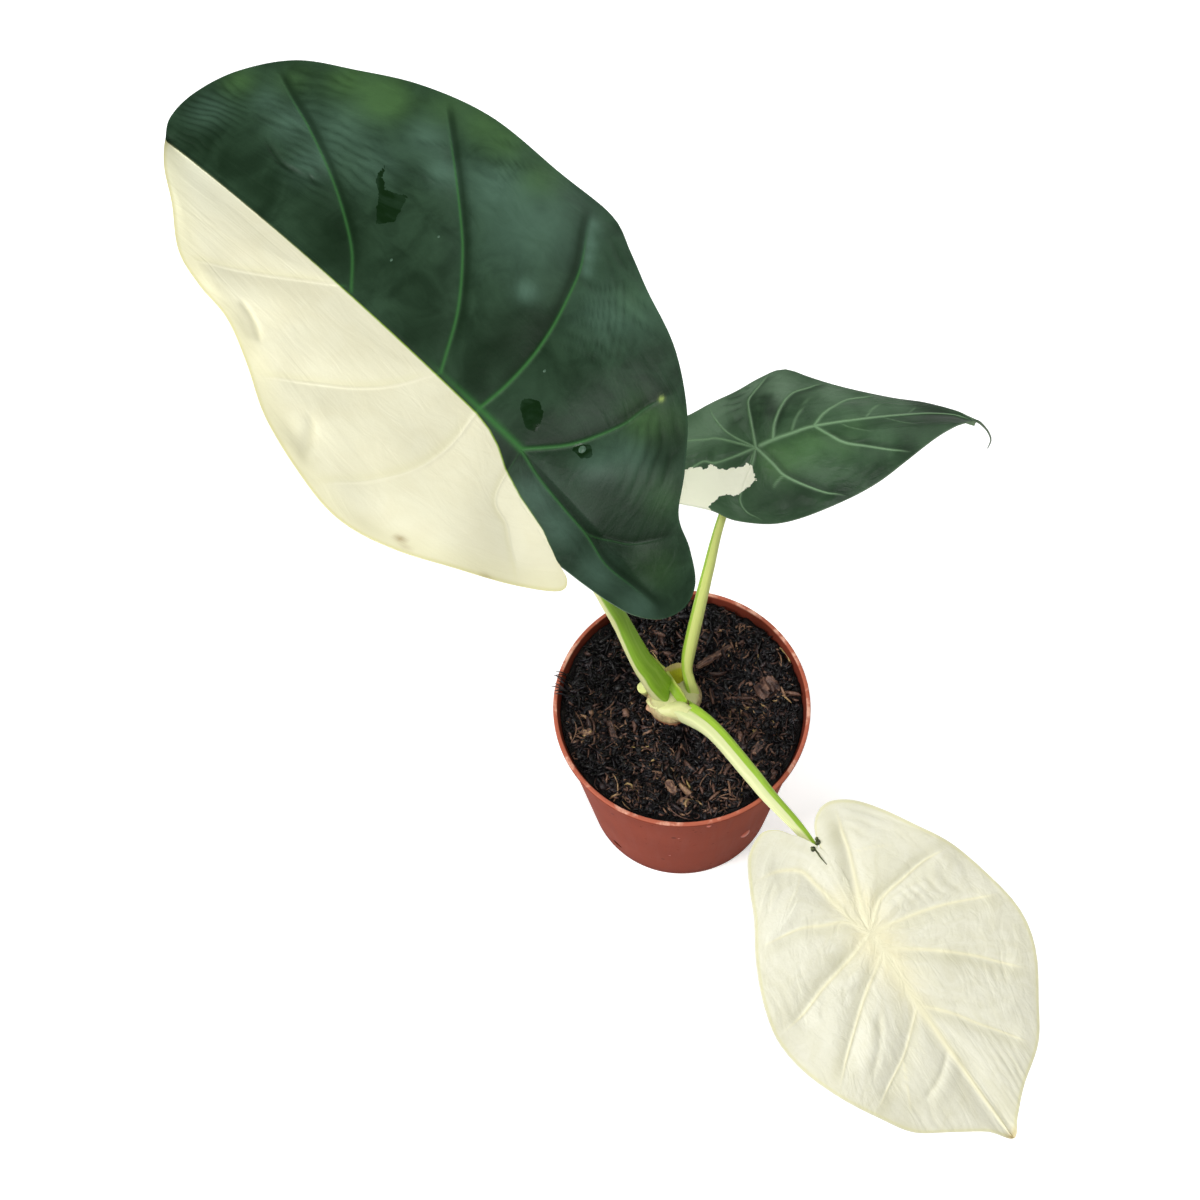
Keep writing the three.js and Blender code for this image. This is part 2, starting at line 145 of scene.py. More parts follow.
def lineDistance(points, line):
    # distance from each point to the nearest place on the line, that place's share of the line,
    # and the side it lies on: the sign of the cross product with the nearest segment
    lengths = lengthsAlong(line)
    best = np.full(points.shape[:-1], np.inf)
    share = np.zeros_like(best)
    side = np.ones_like(best)
    for k in range(len(line) - 1):
        step = line[k + 1] - line[k]
        away = points - line[k]
        t = np.clip(away @ step / max(step @ step, tiny), 0, 1)
        gap = np.linalg.norm(away - t[..., None] * step, axis=-1)
        nearer = gap < best
        best = np.where(nearer, gap, best)
        here = (lengths[k] + t * (lengths[k + 1] - lengths[k])) / lengths[-1]
        share = np.where(nearer, here, share)
        cross = step[0] * away[..., 1] - step[1] * away[..., 0]
        side = np.where(nearer, np.where(cross >= 0, 1.0, -1.0), side)
    return best, share, side


def patchDistance(points, corners):
    # distance to the edge of a closed patch, above zero inside it: a ray from an inside point
    # crosses the edge an odd number of times
    corners = np.asarray(corners, float)
    loop = np.vstack([corners, corners[:1]])
    gap = lineDistance(points, loop)[0]
    inside = np.zeros(points.shape[:-1], bool)
    for (x0, y0), (x1, y1) in zip(loop[:-1], loop[1:]):
        spans = (y0 > points[..., 1]) != (y1 > points[..., 1])
        reach = x0 + (points[..., 1] - y0) * (x1 - x0) / (y1 - y0 if y1 != y0 else tiny)
        inside ^= spans & (points[..., 0] < reach)
    return np.where(inside, gap, -gap)


def latticeNoise(x, y, cell, seed):
    # random heights from -1 to 1 on a square lattice, eased between the four nearest by smoothstep
    table = np.random.default_rng(seed).uniform(-1, 1, (latticeSize, latticeSize))
    x = np.asarray(x) / cell
    y = np.asarray(y) / cell
    i = np.floor(x).astype(int)
    j = np.floor(y).astype(int)
    u = (x - i) ** 2 * (3 - 2 * (x - i))
    v = (y - j) ** 2 * (3 - 2 * (y - j))
    i, nextI = i % latticeSize, (i + 1) % latticeSize
    j, nextJ = j % latticeSize, (j + 1) % latticeSize
    near = table[i, j] * (1 - u) + table[nextI, j] * u
    far = table[i, nextJ] * (1 - u) + table[nextI, nextJ] * u
    return near * (1 - v) + far * v


def smoothstep(low, high, value):
    # 0 below low and 1 above high; between them three times the square less twice the cube of the share
    t = np.clip((value - low) / (high - low), 0, 1)
    return t * t * (3 - 2 * t)


# Shader helpers
def tone(red, green, blue):
    # a screen colour, 0 to 255, as the linear colour that a shader takes
    parts = [v / 255 for v in (red, green, blue)]
    return tuple(v / 12.92 if v <= 0.04045 else ((v + 0.055) / 1.055) ** 2.4 for v in parts) + (1,)


def addNode(tree, kind, inputs=None, **settings):
    made = tree.nodes.new(kind)
    for key, value in settings.items():
        setattr(made, key, value)
    for key, value in (inputs or {}).items():
        socket = made.inputs[key]
        if isinstance(value, bpy.types.NodeSocket):
            tree.links.new(value, socket)
        else:
            socket.default_value = value
    return made


def calc(tree, operation, a, b=0.0, c=0.0, clamp=False):
    made = addNode(tree, "ShaderNodeMath", {0: a, 1: b, 2: c}, operation=operation, use_clamp=clamp)
    return made.outputs[0]


def times(tree, a, b):
    return calc(tree, "MULTIPLY", a, b)


def plus(tree, a, b):
    return calc(tree, "ADD", a, b)


def scaled(tree, value, factor, offset):
    return calc(tree, "MULTIPLY_ADD", value, factor, offset)


def blendColour(tree, factor, a, b, strength=1.0):
    # from a to b by the factor, which is weakened where a strength is given
    if strength != 1.0:
        factor = times(tree, factor, strength)
    made = addNode(tree, "ShaderNodeMix", data_type="RGBA", clamp_factor=True)
    for key, value in (("Factor", factor), ("A", a), ("B", b)):
        sockets = [s for s in made.inputs if s.name == key and s.enabled]
        if isinstance(value, bpy.types.NodeSocket):
            tree.links.new(value, sockets[0])
        else:
            sockets[0].default_value = value
    return next(s for s in made.outputs if s.enabled)


def layered(tree, colour, layers):
    # lays each colour over the ones before it by its mask, weakened where a strength follows
    for mask, over, *strength in layers:
        colour = blendColour(tree, mask, colour, over, *strength)
    return colour


def stepBetween(tree, value, low, high):
    # 0 below low and 1 above high, eased between
    made = addNode(tree, "ShaderNodeMapRange", {"Value": value, "From Min": low, "From Max": high},
                   interpolation_type="SMOOTHSTEP")
    return made.outputs[0]


def readValue(tree, name):
    return addNode(tree, "ShaderNodeAttribute", attribute_name=name).outputs["Fac"]


def objectPlace(tree):
    return addNode(tree, "ShaderNodeTexCoord").outputs["Object"]


def noiseAt(tree, place, scale, detail=3.0, roughness=0.55, distortion=0.0):
    made = addNode(tree, "ShaderNodeTexNoise", {
        "Vector": place, "Scale": scale, "Detail": detail, "Roughness": roughness, "Distortion": distortion})
    return made.outputs[0]


def stretched(tree, place, scale):
    return addNode(tree, "ShaderNodeMapping", {"Vector": place, "Scale": scale}).outputs[0]


def colourSteps(tree, value, stops):
    # the colour that belongs to a value, from stops between 0 and 1
    made = addNode(tree, "ShaderNodeValToRGB", {0: value})
    ramp = made.color_ramp
    while len(ramp.elements) < len(stops):
        ramp.elements.new(0.5)
    for element, (position, colour) in zip(ramp.elements, stops):
        element.position = position
        element.color = colour
    return made.outputs[0]


def newMaterial(name, roughness, gloss=0.5):
    material = bpy.data.materials.new(name)
    material.use_nodes = True
    tree = material.node_tree
    surface = tree.nodes["Principled BSDF"]
    surface.inputs["Roughness"].default_value = roughness
    surface.inputs["Specular IOR Level"].default_value = gloss
    return material, tree, surface


def cover(tree, surface, colour=None, rough=None, bump=None):
    # joins what was worked out to the shader; a bump is its height, its depth in metres and its strength
    if bump is not None:
        height, depth, strength = bump
        relief = addNode(tree, "ShaderNodeBump", {"Height": height, "Distance": depth, "Strength": strength})
        tree.links.new(relief.outputs[0], surface.inputs["Normal"])
    for key, value in (("Base Color", colour), ("Roughness", rough)):
        if value is not None:
            tree.links.new(value, surface.inputs[key])


def newGroup(name, inputs, outputs):
    tree = bpy.data.node_groups.new(name, "ShaderNodeTree")
    for key, kind, value in inputs:
        socket = tree.interface.new_socket(name=key, in_out="INPUT", socket_type=kind)
        if value is not None:
            socket.default_value = value
    for key, kind in outputs:
        tree.interface.new_socket(name=key, in_out="OUTPUT", socket_type=kind)
    return tree, tree.nodes.new("NodeGroupInput").outputs, tree.nodes.new("NodeGroupOutput").inputs


def useGroup(tree, group, inputs):
    made = tree.nodes.new("ShaderNodeGroup")
    made.node_tree = group
    for key, value in inputs.items():
        if isinstance(value, bpy.types.NodeSocket):
            tree.links.new(value, made.inputs[key])
        else:
            made.inputs[key].default_value = value
    return made.outputs


# Shared effects: the fine relief of a blade, and a ragged edge between two colours
vectorSocket = "NodeSocketVector"
numberSocket = "NodeSocketFloat"


def makeWrinkles():
    # Height: folds across the ribs, hatching square to the margin near it, and pores;
    # Cloud: soft broad patches; Streaks: brush-like patches that run from rib to rib
    inputs = [("Grain", vectorSocket, None), ("Place", vectorSocket, None), ("Edge", numberSocket, 0.0)]
    outputs = [("Height", numberSocket), ("Cloud", numberSocket), ("Streaks", numberSocket)]
    tree, given, out = newGroup("leafWrinkles", inputs, outputs)
    folds = noiseAt(tree, stretched(tree, given["Grain"], (15, 2.4, 1)), 1.0, 2.0, 0.5, 0.9)
    hatch = noiseAt(tree, stretched(tree, given["Grain"], (3, 26, 1)), 1.0, 1.0, 0.5, 0.2)
    nearEdge = stepBetween(tree, given["Edge"], 15.0, 2.0)
    pores = noiseAt(tree, given["Place"], 800.0, 2.0)
    total = scaled(tree, times(tree, hatch, nearEdge), 0.15, folds)
    tree.links.new(scaled(tree, pores, 0.16, total), out["Height"])
    tree.links.new(noiseAt(tree, given["Place"], 55.0, 4.0, 0.55, 0.6), out["Cloud"])
    streaks = noiseAt(tree, stretched(tree, given["Grain"], (7, 3.0, 1)), 1.0, 4.0, 0.6, 1.4)
    tree.links.new(streaks, out["Streaks"])
    return tree


def makeRagged():
    # Mask: 1 inside a patch and 0 outside, by the distance to its edge, which noise moves by up to half
    # the reach
    inputs = [("Distance", numberSocket, 0.0), ("Place", vectorSocket, None), ("Reach", numberSocket, 0.5),
              ("Scale", numberSocket, 300.0)]
    tree, given, out = newGroup("raggedEdge", inputs, [("Mask", numberSocket)])
    rough = noiseAt(tree, given["Place"], given["Scale"], 3.0, 0.6)
    shift = times(tree, calc(tree, "SUBTRACT", rough, 0.5), given["Reach"])
    moved = plus(tree, given["Distance"], shift)
    tree.links.new(stepBetween(tree, moved, -0.15, 0.15), out["Mask"])
    return tree


wrinkles = makeWrinkles()
ragged = makeRagged()


# Blades. x runs along the midrib from the stalk's joint to the tip, y to the left of it, in millimetres.
# Ribs go round the blade from the notch along its right side to the tip and back along its left side:
# where each starts on the midrib, the points that it passes, its half width at the start, its strength and
# the side of it that gets a band of painted shade. Twigs are fine side veins and folds are creases that
# swell on one side. Spots of dark, sheen, glow and swell are round soft places: x, y, radius and strength.
# Dark spots are painted shade and sheen spots a painted sheen; on the green blades glow spots are lighter
# green that is partly painted highlight, and on the pale blade they are its warmer yellow round the joint.
# Swell spots raise the surface. Ripples are a row of small folds, given by the first line, the last line
# and their number.
largeBlade = {
    "joint": (-66, 63, 248), "heading": 132, "pitch": 12, "roll": 0,
    "foldLeft": 15, "foldRight": 13, "curlLeft": -0.05, "curlRight": -0.08,
    "bendFront": 0.08, "bendBack": 0.25, "twist": 0, "tipStart": 222, "tipCurl": 0,
    "wave": 1.6, "waveCount": 7, "wavePhase": 0.6, "quilt": 1.3, "quiltSpread": 9,
    "outline": [
        (-50, 26), (-63, 23), (-76, 19), (-88, 13), (-98, 3), (-101, -8), (-96, -18), (-83, -25),
        (-69, -30), (-57, -44), (-41, -62), (-20, -76), (5, -86), (24, -95), (42, -102), (73, -100),
        (112, -99), (147, -91), (176, -79), (203, -66), (221, -46), (229, -26), (229, -10), (222, 0),
        (206, 13), (184, 26), (160, 42), (140, 48), (119, 51), (97, 60), (71, 73), (43, 81), (19, 83),
        (-5, 75), (-27, 61), (-47, 45), (-59, 33), (-57, 27)],
    "tip": (222, 0),
    "midrib": [(222, 0), (-5, 0)], "midribWidth": (1.6, 0.7),
    "ribs": [
        (-5, [(-19, 3.5), (-36, 5), (-50, 5.5), (-64, 8), (-78, 5), (-90, 2)], 1.0, 0.9, 1),
        (-5, [(-19, 3.2), (-36, 4.6), (-49, 5), (-59, -2), (-66, -8), (-73, -20)], 0.7, 0.55, 1),
        (-5, [(-15, -12), (-20, -20), (-24, -30), (-27, -40), (-28, -50), (-30, -59)], 1.0, 1.0, 1),
        (20, [(19, -14), (20, -31), (23, -46), (28, -61), (34, -75), (43, -88)], 1.05, 1.0, 1),
        (43, [(57, -24), (73, -43), (86, -55), (107, -72), (128, -88)], 0.9, 0.9, -1),
        (98, [(112, -14), (131, -26), (149, -35), (171, -44), (192, -51), (208, -57)], 0.85, 0.8, -1),
        None,
        (102, [(113, 10), (125, 21), (137, 31), (149, 40)], 0.8, 0.55, -1),
        (43, [(50, 20), (59, 34), (72, 47), (85, 59)], 0.8, 0.7, -1),
        (20, [(15, 19), (14, 33), (16, 46), (23, 62), (29, 71)], 0.9, 0.85, -1),
        (-5, [(-14, 25), (-25, 30), (-32, 35)], 0.5, 0.3, -1)],
    "rows": 72, "spacing": 1.7,
    "twigs": [([(-14, 25), (-17, 38), (-18, 54)], 0.5, 0.25)],
    "folds": [
        ([(197, -33), (188, -35), (177, -38), (166, -43)], 0.6, 1),
        ([(185, -29), (174, -25), (162, -23), (151, -25), (141, -30)], 0.8, 1),
        ([(128, -68), (122, -72), (114, -78)], 0.5, -1),
        ([(122, -57), (115, -60), (107, -61), (100, -66)], 0.6, -1),
        ([(124, 40), (112, 43), (99, 50)], 0.7, -1), ([(60, 57), (52, 66), (46, 77)], 0.7, -1)],
    "wrinkle": 0.4, "wrinkleLength": 7.5, "wrinkleBow": 7, "leftWrinkle": 0.2,
    "ripples": ([(30.2, -70.6), (19.3, -74.9), (12.8, -86.4)],
                [(19.9, -43.9), (-0.2, -50.6), (-9.1, -72.7)], 6),
    "spots": {
        "dark": [(31, -26, 14, 0.9), (32, -8, 9, 0.6), (30, -44, 8, 0.7), (140, -18, 12, 0.5),
                 (105, -9, 12, 0.6), (-8, -15, 10, 0.7), (-45, -46, 10, 0.6), (-77, -5, 10, 0.5),
                 (-50, -8, 10, 0.5), (205, -10, 12, 0.4), (78, -20, 14, 0.35), (6, -40, 12, 0.35),
                 (60, -8, 13, 0.6), (165, -8, 13, 0.7), (190, -8, 11, 0.6), (122, -12, 13, 0.8),
                 (-40, -12, 8, 0.5)],
        "paintedSheen": [(42, -50, 5, 0.9), (62, -75, 24, 0.7), (88, -78, 13, 0.6), (179, -40, 10, 0.7),
                  (156, -31, 10, 0.7), (197, -43, 8, 0.5), (125, -74, 10, 0.7), (108, -66, 8, 0.8),
                  (157, -54, 14, 0.6), (133, -48, 12, 0.5), (-33, -17, 8, 0.6), (-23, 11, 9, 0.9),
                  (-40, 13, 9, 0.9), (-86, 9, 9, 0.8), (-64, 14, 9, 0.8), (10, -66, 14, 0.5),
                  (-38, -33, 9, 0.6), (215, -22, 10, 0.5), (5, -80, 12, 0.5), (31, -76, 3, 0.6),
                  (35, -81, 3, 0.6), (39, -86, 3.5, 0.7), (44, -92, 4, 0.7)],
        "glow": [(75, -92, 9, 0.7), (97, -93, 9, 0.8), (112, -94, 9, 0.7), (159, -75, 13, 0.9),
                 (177, -72, 9, 0.8), (150, -76, 9, 0.6), (-32, -46, 9, 0.8), (-80, -8, 9, 0.5),
                 (216, -42, 8, 0.8), (196, -58, 9, 0.5), (130, -89, 9, 0.6), (-60, -30, 9, 0.3),
                 (8, -80, 9, 0.3), (-40, -55, 8, 0.3)],
        "swell": [(31, -26, 15, -0.9), (62, -75, 20, 1.1), (179, -40, 10, 0.8), (156, -31, 10, 0.8),
                  (157, -62, 18, 0.9), (125, -70, 12, 0.7), (108, -67, 8, 0.6), (-33, -17, 11, 0.7),
                  (-45, -46, 10, -0.8), (111, 45, 13, -1.5), (136, 45, 11, 0.9), (92, 48, 12, 1.2),
                  (53, 68, 9, -1.4), (76, 36, 14, 0.5), (62, 56, 9, 0.8), (11, 70, 10, -0.9),
                  (177, 24, 14, 0.7), (28, 42, 13, 0.8), (-12, 55, 11, 0.7)]},
}

middleBlade = {
    "joint": (38, 73, 212), "heading": 3, "pitch": 8, "roll": 8,
    "foldLeft": -8, "foldRight": -10, "curlLeft": -0.3, "curlRight": -0.5,
    "bendFront": 0.25, "bendBack": 0.15, "twist": -0.3, "tipStart": 105, "tipCurl": 9,
    "wave": 0.9, "waveCount": 6, "wavePhase": 1.2, "quilt": 0.9, "quiltSpread": 6,
    "outline": [
        (-32, 2), (-43, -1), (-51, -7), (-50, -14), (-39, -17), (-25, -23), (-15, -30), (1, -34), (17, -34),
        (34, -30), (50, -24), (64, -16), (80, -6), (92, 0.1), (97.4, 2.2), (100.4, 3.0), (101.8, 3.5),
        (101.4, 4.6), (99.4, 8), (95.6, 14), (84, 21), (70, 24), (56, 29), (43, 34), (31, 39), (20, 44),
        (8, 39), (-8, 30), (-24, 23), (-40, 19), (-50, 13), (-49, 7), (-41, 4)],
    "tip": (101.8, 3.5),
    "midrib": [(101.8, 3.5), (100, 5), (94, 10), (82, 11), (70, 10), (51, 8.5), (37, 7.5), (25, 6.5),
               (17, 4.5), (8, 2.5), (0, 0)],
    "midribWidth": (0.85, 0.4),
    "ribs": [
        (0, [(-10, -2), (-19, -3), (-25, -1.5), (-42, -9)], 0.6, 0.8, 0),
        (0, [(-3, -7), (-7, -13), (-11, -21), (-9, -27), (-4, -31)], 0.5, 0.6, 0),
        (0, [(6, -8), (10, -14), (18, -20), (27, -25), (33, -27)], 0.65, 0.9, 1),
        (10, [(18, -8), (28, -15), (38, -22)], 0.3, 0.0, 0),
        (27, [(37, -3), (48, -7), (64, -12)], 0.65, 0.9, 1),
        None,
        (27, [(33, 14), (40, 19), (47, 23), (58, 25)], 0.65, 0.9, 0),
        (8, [(10, 11), (15, 21), (21, 28), (28, 31), (36, 34)], 0.65, 0.9, -1),
        (0, [(0, 13), (0, 23), (1, 27), (5, 32), (12, 40)], 0.6, 0.9, -1),
        (0, [(-10, 9), (-15, 17), (-17, 24)], 0.55, 0.8, 0),
        (0, [(-15, 8), (-21, 9), (-28, 10), (-42, 12)], 0.6, 0.8, 0)],
    "rows": 62, "spacing": 1.5,
    "twigs": [
        ([(17, 6), (20, 12), (25, 20), (30, 26)], 0.4, 0.4), ([(51, 9), (56, 15), (62, 19)], 0.4, 0.4),
        ([(-2, -3), (-4, -7)], 0.4, 0.5), ([(10, -14), (6, -17), (4, -20)], 0.4, 0.5),
        ([(71, 10), (75, 14), (78, 17)], 0.3, 0.3), ([(37, 8), (43, 3), (52, -1)], 0.3, 0.3),
        ([(58, 9), (66, 4), (74, 1)], 0.3, 0.3)],
    "folds": [],
    "wrinkle": 0.45, "wrinkleLength": 5.0, "wrinkleBow": 3,
    "spots": {
        "dark": [(9, 25, 4, 0.9), (10, 18, 4, 0.9), (-6, 14, 6, 0.4), (15, -27, 11, 1.0), (34, -27, 8, 0.9),
                 (50, -20, 8, 0.9), (65, -12, 7, 0.7), (22, 22, 5, 0.4), (0, -30, 7, 0.4), (80, 5, 7, 0.4),
                 (92, 6, 9, 0.8), (84, 16, 9, 0.7), (72, 0, 9, 0.5)],
        "paintedSheen": [(40, 27, 9, 0.8), (16, 38, 10, 0.9), (70, 17, 8, 0.5), (-14, 22, 9, 1.0),
                  (-28, 12, 9, 1.0), (2, 34, 8, 0.8), (55, 15, 7, 0.4), (-40, 6, 8, 0.7), (15, 28, 7, 0.7),
                  (-16, 13, 6, 0.6)],
        "glow": [(6, -6, 7, 0.8), (17, -6, 9, 0.8), (27, -1, 7, 0.6), (38, -6, 6, 0.5), (8, -12, 6, 0.5),
                 (45, 4, 6, 0.4)],
        "swell": [(16, -25, 6, 0.5), (10, -30, 4, 0.4), (25, -30, 4, 0.4), (12, 26, 6, 0.6),
                  (44, 15, 7, 0.4)]},
}

paleBlade = {
    "joint": (75, -113, 97), "heading": -58, "pitch": -20, "roll": 0,
    "foldLeft": 4, "foldRight": 4, "curlLeft": -0.15, "curlRight": -0.15,
    "bendFront": 0.12, "bendBack": 0.1, "twist": 0, "tipStart": 113, "tipCurl": 0,
    "wave": 1.1, "waveCount": 7, "wavePhase": 0.2, "quilt": 1.3, "quiltSpread": 6,
    "outline": [
        (-36, 1), (-43, -0.6), (-50, -2.2), (-57, -4.8), (-62, -9.2), (-64, -15), (-61.6, -22), (-57, -28),
        (-46, -35), (-34, -41), (-20, -50), (-4, -58), (13, -62), (31, -60), (50, -53), (68, -43),
        (83, -33), (94, -18), (104, -4), (114, 5), (106, 12), (96, 22), (85, 38), (71, 48.5), (52, 60),
        (33, 64.5), (12, 62), (-9, 56), (-27, 46), (-41, 38), (-52, 29), (-58, 19), (-57, 11), (-50, 5)],
    "tip": (114, 5),
    "midrib": [(114, 5), (91, 3), (74, 2), (58, 1), (38, 0), (21, 0), (0, 0)],
    "midribWidth": (3.0, 0.7),
    "ribs": [
        (0, [(-9, -4), (-16, -5), (-32, -8), (-40, -10), (-46, -19), (-48, -28)], 1.9, 0.95, 0),
        (0, [(-10, -6), (-15, -16), (-20, -26), (-23, -42)], 1.2, 0.8, 1),
        (0, [(4, -15), (7, -32), (11, -46), (12, -56)], 1.3, 0.9, -1),
        (10, [(20, -17), (30, -31), (38, -41)], 1.2, 0.9, -1),
        (38, [(47, -11), (53, -19), (58, -29)], 1.0, 0.8, 1),
        None,
        (38, [(50, 11), (60, 18), (72, 27)], 1.0, 0.85, -1),
        (8, [(21, 18), (35, 34), (46, 44)], 1.2, 0.9, -1),
        (0, [(5, 23), (10, 38), (17, 54)], 1.2, 0.85, -1),
        (0, [(-9, 12), (-11, 26), (-12, 39), (-11, 49)], 1.1, 0.85, 1),
        (0, [(-10, 3), (-20, 7), (-34, 13), (-44, 16)], 1.8, 0.9, 1)],
    "rows": 62, "spacing": 2.0,
    "twigs": [([(53, -19), (65, -25), (78, -31)], 0.5, 0.6), ([(-34, 13), (-30, 24), (-24, 34)], 0.4, 0.35),
              ([(-40, -10), (-34, -18), (-32, -27)], 0.4, 0.35)],
    "folds": [
        ([(62, 1), (70, -10), (74, -22)], 0.7, 1), ([(20, -10), (14, -26), (16, -44)], 0.6, -1),
        ([(28, -16), (42, -26), (52, -38)], 0.6, -1), ([(18, 22), (26, 38), (28, 52)], 0.6, -1),
        ([(40, 8), (56, 26), (62, 42)], 0.6, -1)],
    "wrinkle": 0.5, "wrinkleLength": 5.5, "wrinkleBow": 4,
    "spots": {
        "dark": [(-22, 22, 9, 0.7), (-14, 10, 7, 0.6), (-44, 14, 6, 0.9), (3, -18, 6, 0.6),
                 (72, -28, 5, 0.8), (62, -38, 6, 0.5), (30, 22, 9, 0.4), (80, -6, 8, 0.4), (98, 10, 6, 0.5),
                 (40, -48, 9, 0.4)],
        "paintedSheen": [(-24, -32, 9, 0.8), (-50, 22, 7, 0.5), (26, -38, 12, 0.5), (44, -24, 8, 0.4),
                  (-40, 32, 8, 0.4), (10, -40, 8, 0.3), (60, 36, 12, 0.3)],
        "glow": [(0, 0, 11, 0.9), (14, 0, 9, 0.8), (28, 0, 8, 0.6), (-20, -5, 6, 0.6), (-14, 5, 6, 0.6),
                 (40, 0, 6, 0.5)],
        "swell": [(26, -38, 9, 0.7), (44, -24, 7, 0.5), (-24, -32, 7, 0.6), (3, -18, 5, -0.4),
                  (-26, 26, 8, 0.5), (28, 20, 8, 0.5), (12, -42, 6, 0.5), (60, 40, 10, 0.5),
                  (84, 12, 8, 0.5)]},
}

bladeThickness = 0.9
marginThickness = 0.65
ribRidge = 1.5
ribSpread = 3


def arcAt(length, slope, curl):
    # end of an arc that starts at the slope and turns by curl for each millimetre
    if abs(curl) < tiny:
        return length * np.cos(slope), length * np.sin(slope)
    end = slope + curl * length
    return (np.sin(end) - np.sin(slope)) / curl, (np.cos(slope) - np.cos(end)) / curl


def midribArc(leaf, x):
    # along, up and slope of the midrib: one arc behind the joint, one in front, a tighter one at the tip
    along, up, slope = np.zeros_like(x), np.zeros_like(x), np.zeros_like(x)
    for front, bend in ((True, leaf["bendFront"]), (False, leaf["bendBack"])):
        bend = math.radians(bend)
        length = np.minimum(np.abs(x), leaf["tipStart"])
        ahead, rise = arcAt(length, 0.0, -bend)
        tilt = -bend * length
        extra = np.abs(x) - length
        tipBend = math.radians(leaf["tipCurl"] + leaf["bendFront"])
        further, drop = arcAt(extra, tilt, -tipBend)
        ahead, rise, tilt = ahead + further, rise + drop, tilt - tipBend * extra
        here = x >= 0 if front else x < 0
        sign = 1 if front else -1
        along = np.where(here, sign * ahead, along)
        up = np.where(here, rise, up)
        slope = np.where(here, sign * tilt, slope)
    return along, up, slope


def bladePoint(leaf, x, y, lift):
    # folds and curls the two halves about the midrib, bends the midrib, then turns and places the blade
    twist = math.radians(leaf["twist"]) * np.maximum(x, -60)
    halves = []
    for fold, curl, turn in (("foldLeft", "curlLeft", twist), ("foldRight", "curlRight", -twist)):
        halves.append(arcAt(np.abs(y), math.radians(leaf[fold]) + turn, math.radians(leaf[curl])))
    left = y >= 0
    side = np.where(left, halves[0][0], -halves[1][0])
    height = np.where(left, halves[0][1], halves[1][1]) + lift
    along, up, slope = midribArc(leaf, x)
    flat = np.stack([along - np.sin(slope) * height, side, up + np.cos(slope) * height], -1)
    heading, pitch, roll = (math.radians(leaf[key]) for key in ("heading", "pitch", "roll"))
    turn = Matrix.Rotation(heading, 3, "Z") @ Matrix.Rotation(-pitch, 3, "Y")
    turn = turn @ Matrix.Rotation(roll, 3, "X")
    return flat @ np.array(turn).T + np.array(leaf["joint"])


def outlineEnd(outline, line):
    # where a rib, carried on straight, comes nearest to the outline ahead of it
    heading = line[-1] - line[-2]
    heading = heading / np.linalg.norm(heading)
    away = outline - line[-1]
    ahead = away @ heading
    aside = np.abs(away[:, 0] * heading[1] - away[:, 1] * heading[0])
    cost = np.where(ahead > 0, aside + 0.3 * ahead, 1e9)
    return int(np.argmin(cost))


def ribShares(count):
    # shares across the space between two ribs, closer together beside each rib
    near = np.array([0, 0.006, 0.014, 0.026, 0.045, 0.075])
    middle = np.linspace(0.11, 0.89, count)
    return np.concatenate([near, middle, 1 - near[:0:-1]])


def bladeGrid(leaf):
    # columns run from the midrib to the margin and follow the ribs; rows are shares of each column
    outline = smoothLine(leaf["outline"], len(leaf["outline"]) * 14, closed=True)
    closed = np.vstack([outline, outline[:1]])
    around = lengthsAlong(closed)
    total = around[-1]
    midrib = np.array(leaf["midrib"], float)
    spine = smoothLine(midrib, 120) if len(midrib) > 2 else midrib
    order = np.argsort(spine[:, 0])

    def onMidrib(x):
        return np.stack([x, np.interp(x, spine[order, 0], spine[order, 1])], -1)

    inner = np.array([0, 0.005, 0.012, 0.022, 0.036, 0.055, 0.08])
    outer = np.linspace(0.1, 0.988, leaf["rows"] - len(inner) - 1)
    shares = np.concatenate([inner, outer, [1.0]])
    tip = np.array(leaf["tip"], float)
    ribs = []
    for rib in leaf["ribs"]:
        if rib is None:
            end = int(np.argmin(np.linalg.norm(outline - tip, axis=1)))
            ribs.append({"x": tip[0], "line": np.tile(tip, (len(shares), 1)), "end": end, "strength": 0.0})
            continue
        x, points, width, strength, shade = rib
        path = np.vstack([onMidrib(np.array([float(x)]))[0], points])
        end = outlineEnd(outline, path)
        line = resample(smoothLine(np.vstack([path, outline[end]]), 120), shares)
        ribs.append({"x": float(x), "line": line, "end": end, "strength": strength, "width": width,
                     "shade": shade, "path": line[::2]})
    columns, phases = [], []
    for k, rib in enumerate(ribs):
        after = ribs[(k + 1) % len(ribs)]
        span = (around[after["end"]] - around[rib["end"]]) % total
        across = ribShares(max(6, int(span / leaf["spacing"])))[:-1]
        if rib["x"] != after["x"]:  # both halves share these places on the midrib
            low, high = sorted((rib["x"], after["x"]))
            across = ribShares(max(6, int(1.25 * (high - low) / leaf["spacing"])))[:-1]
        weight = across[:, None]
        starts = onMidrib(rib["x"] * (1 - across) + after["x"] * across)
        reach = (around[rib["end"]] + span * across) % total
        ends = np.stack([np.interp(reach, around, closed[:, axis]) for axis in (0, 1)], -1)
        mixed = rib["line"][None] * (1 - weight[..., None]) + after["line"][None] * weight[..., None]
        s = shares[None, :, None]
        mixed = mixed + (1 - s) * (starts - mixed[:, 0])[:, None] + s * (ends - mixed[:, -1])[:, None]
        columns.append(mixed)
        phases.append(k + across)
    return np.concatenate(columns), np.concatenate(phases), shares, ribs, spine


def spotSum(flat, spots):
    # strength times a bell curve of the distance over the radius, added up over the spots
    total = np.zeros(flat.shape[:-1])
    for x, y, radius, strength in spots:
        total += strength * np.exp(-(((flat - (x, y)) ** 2).sum(-1)) / radius**2)
    return total


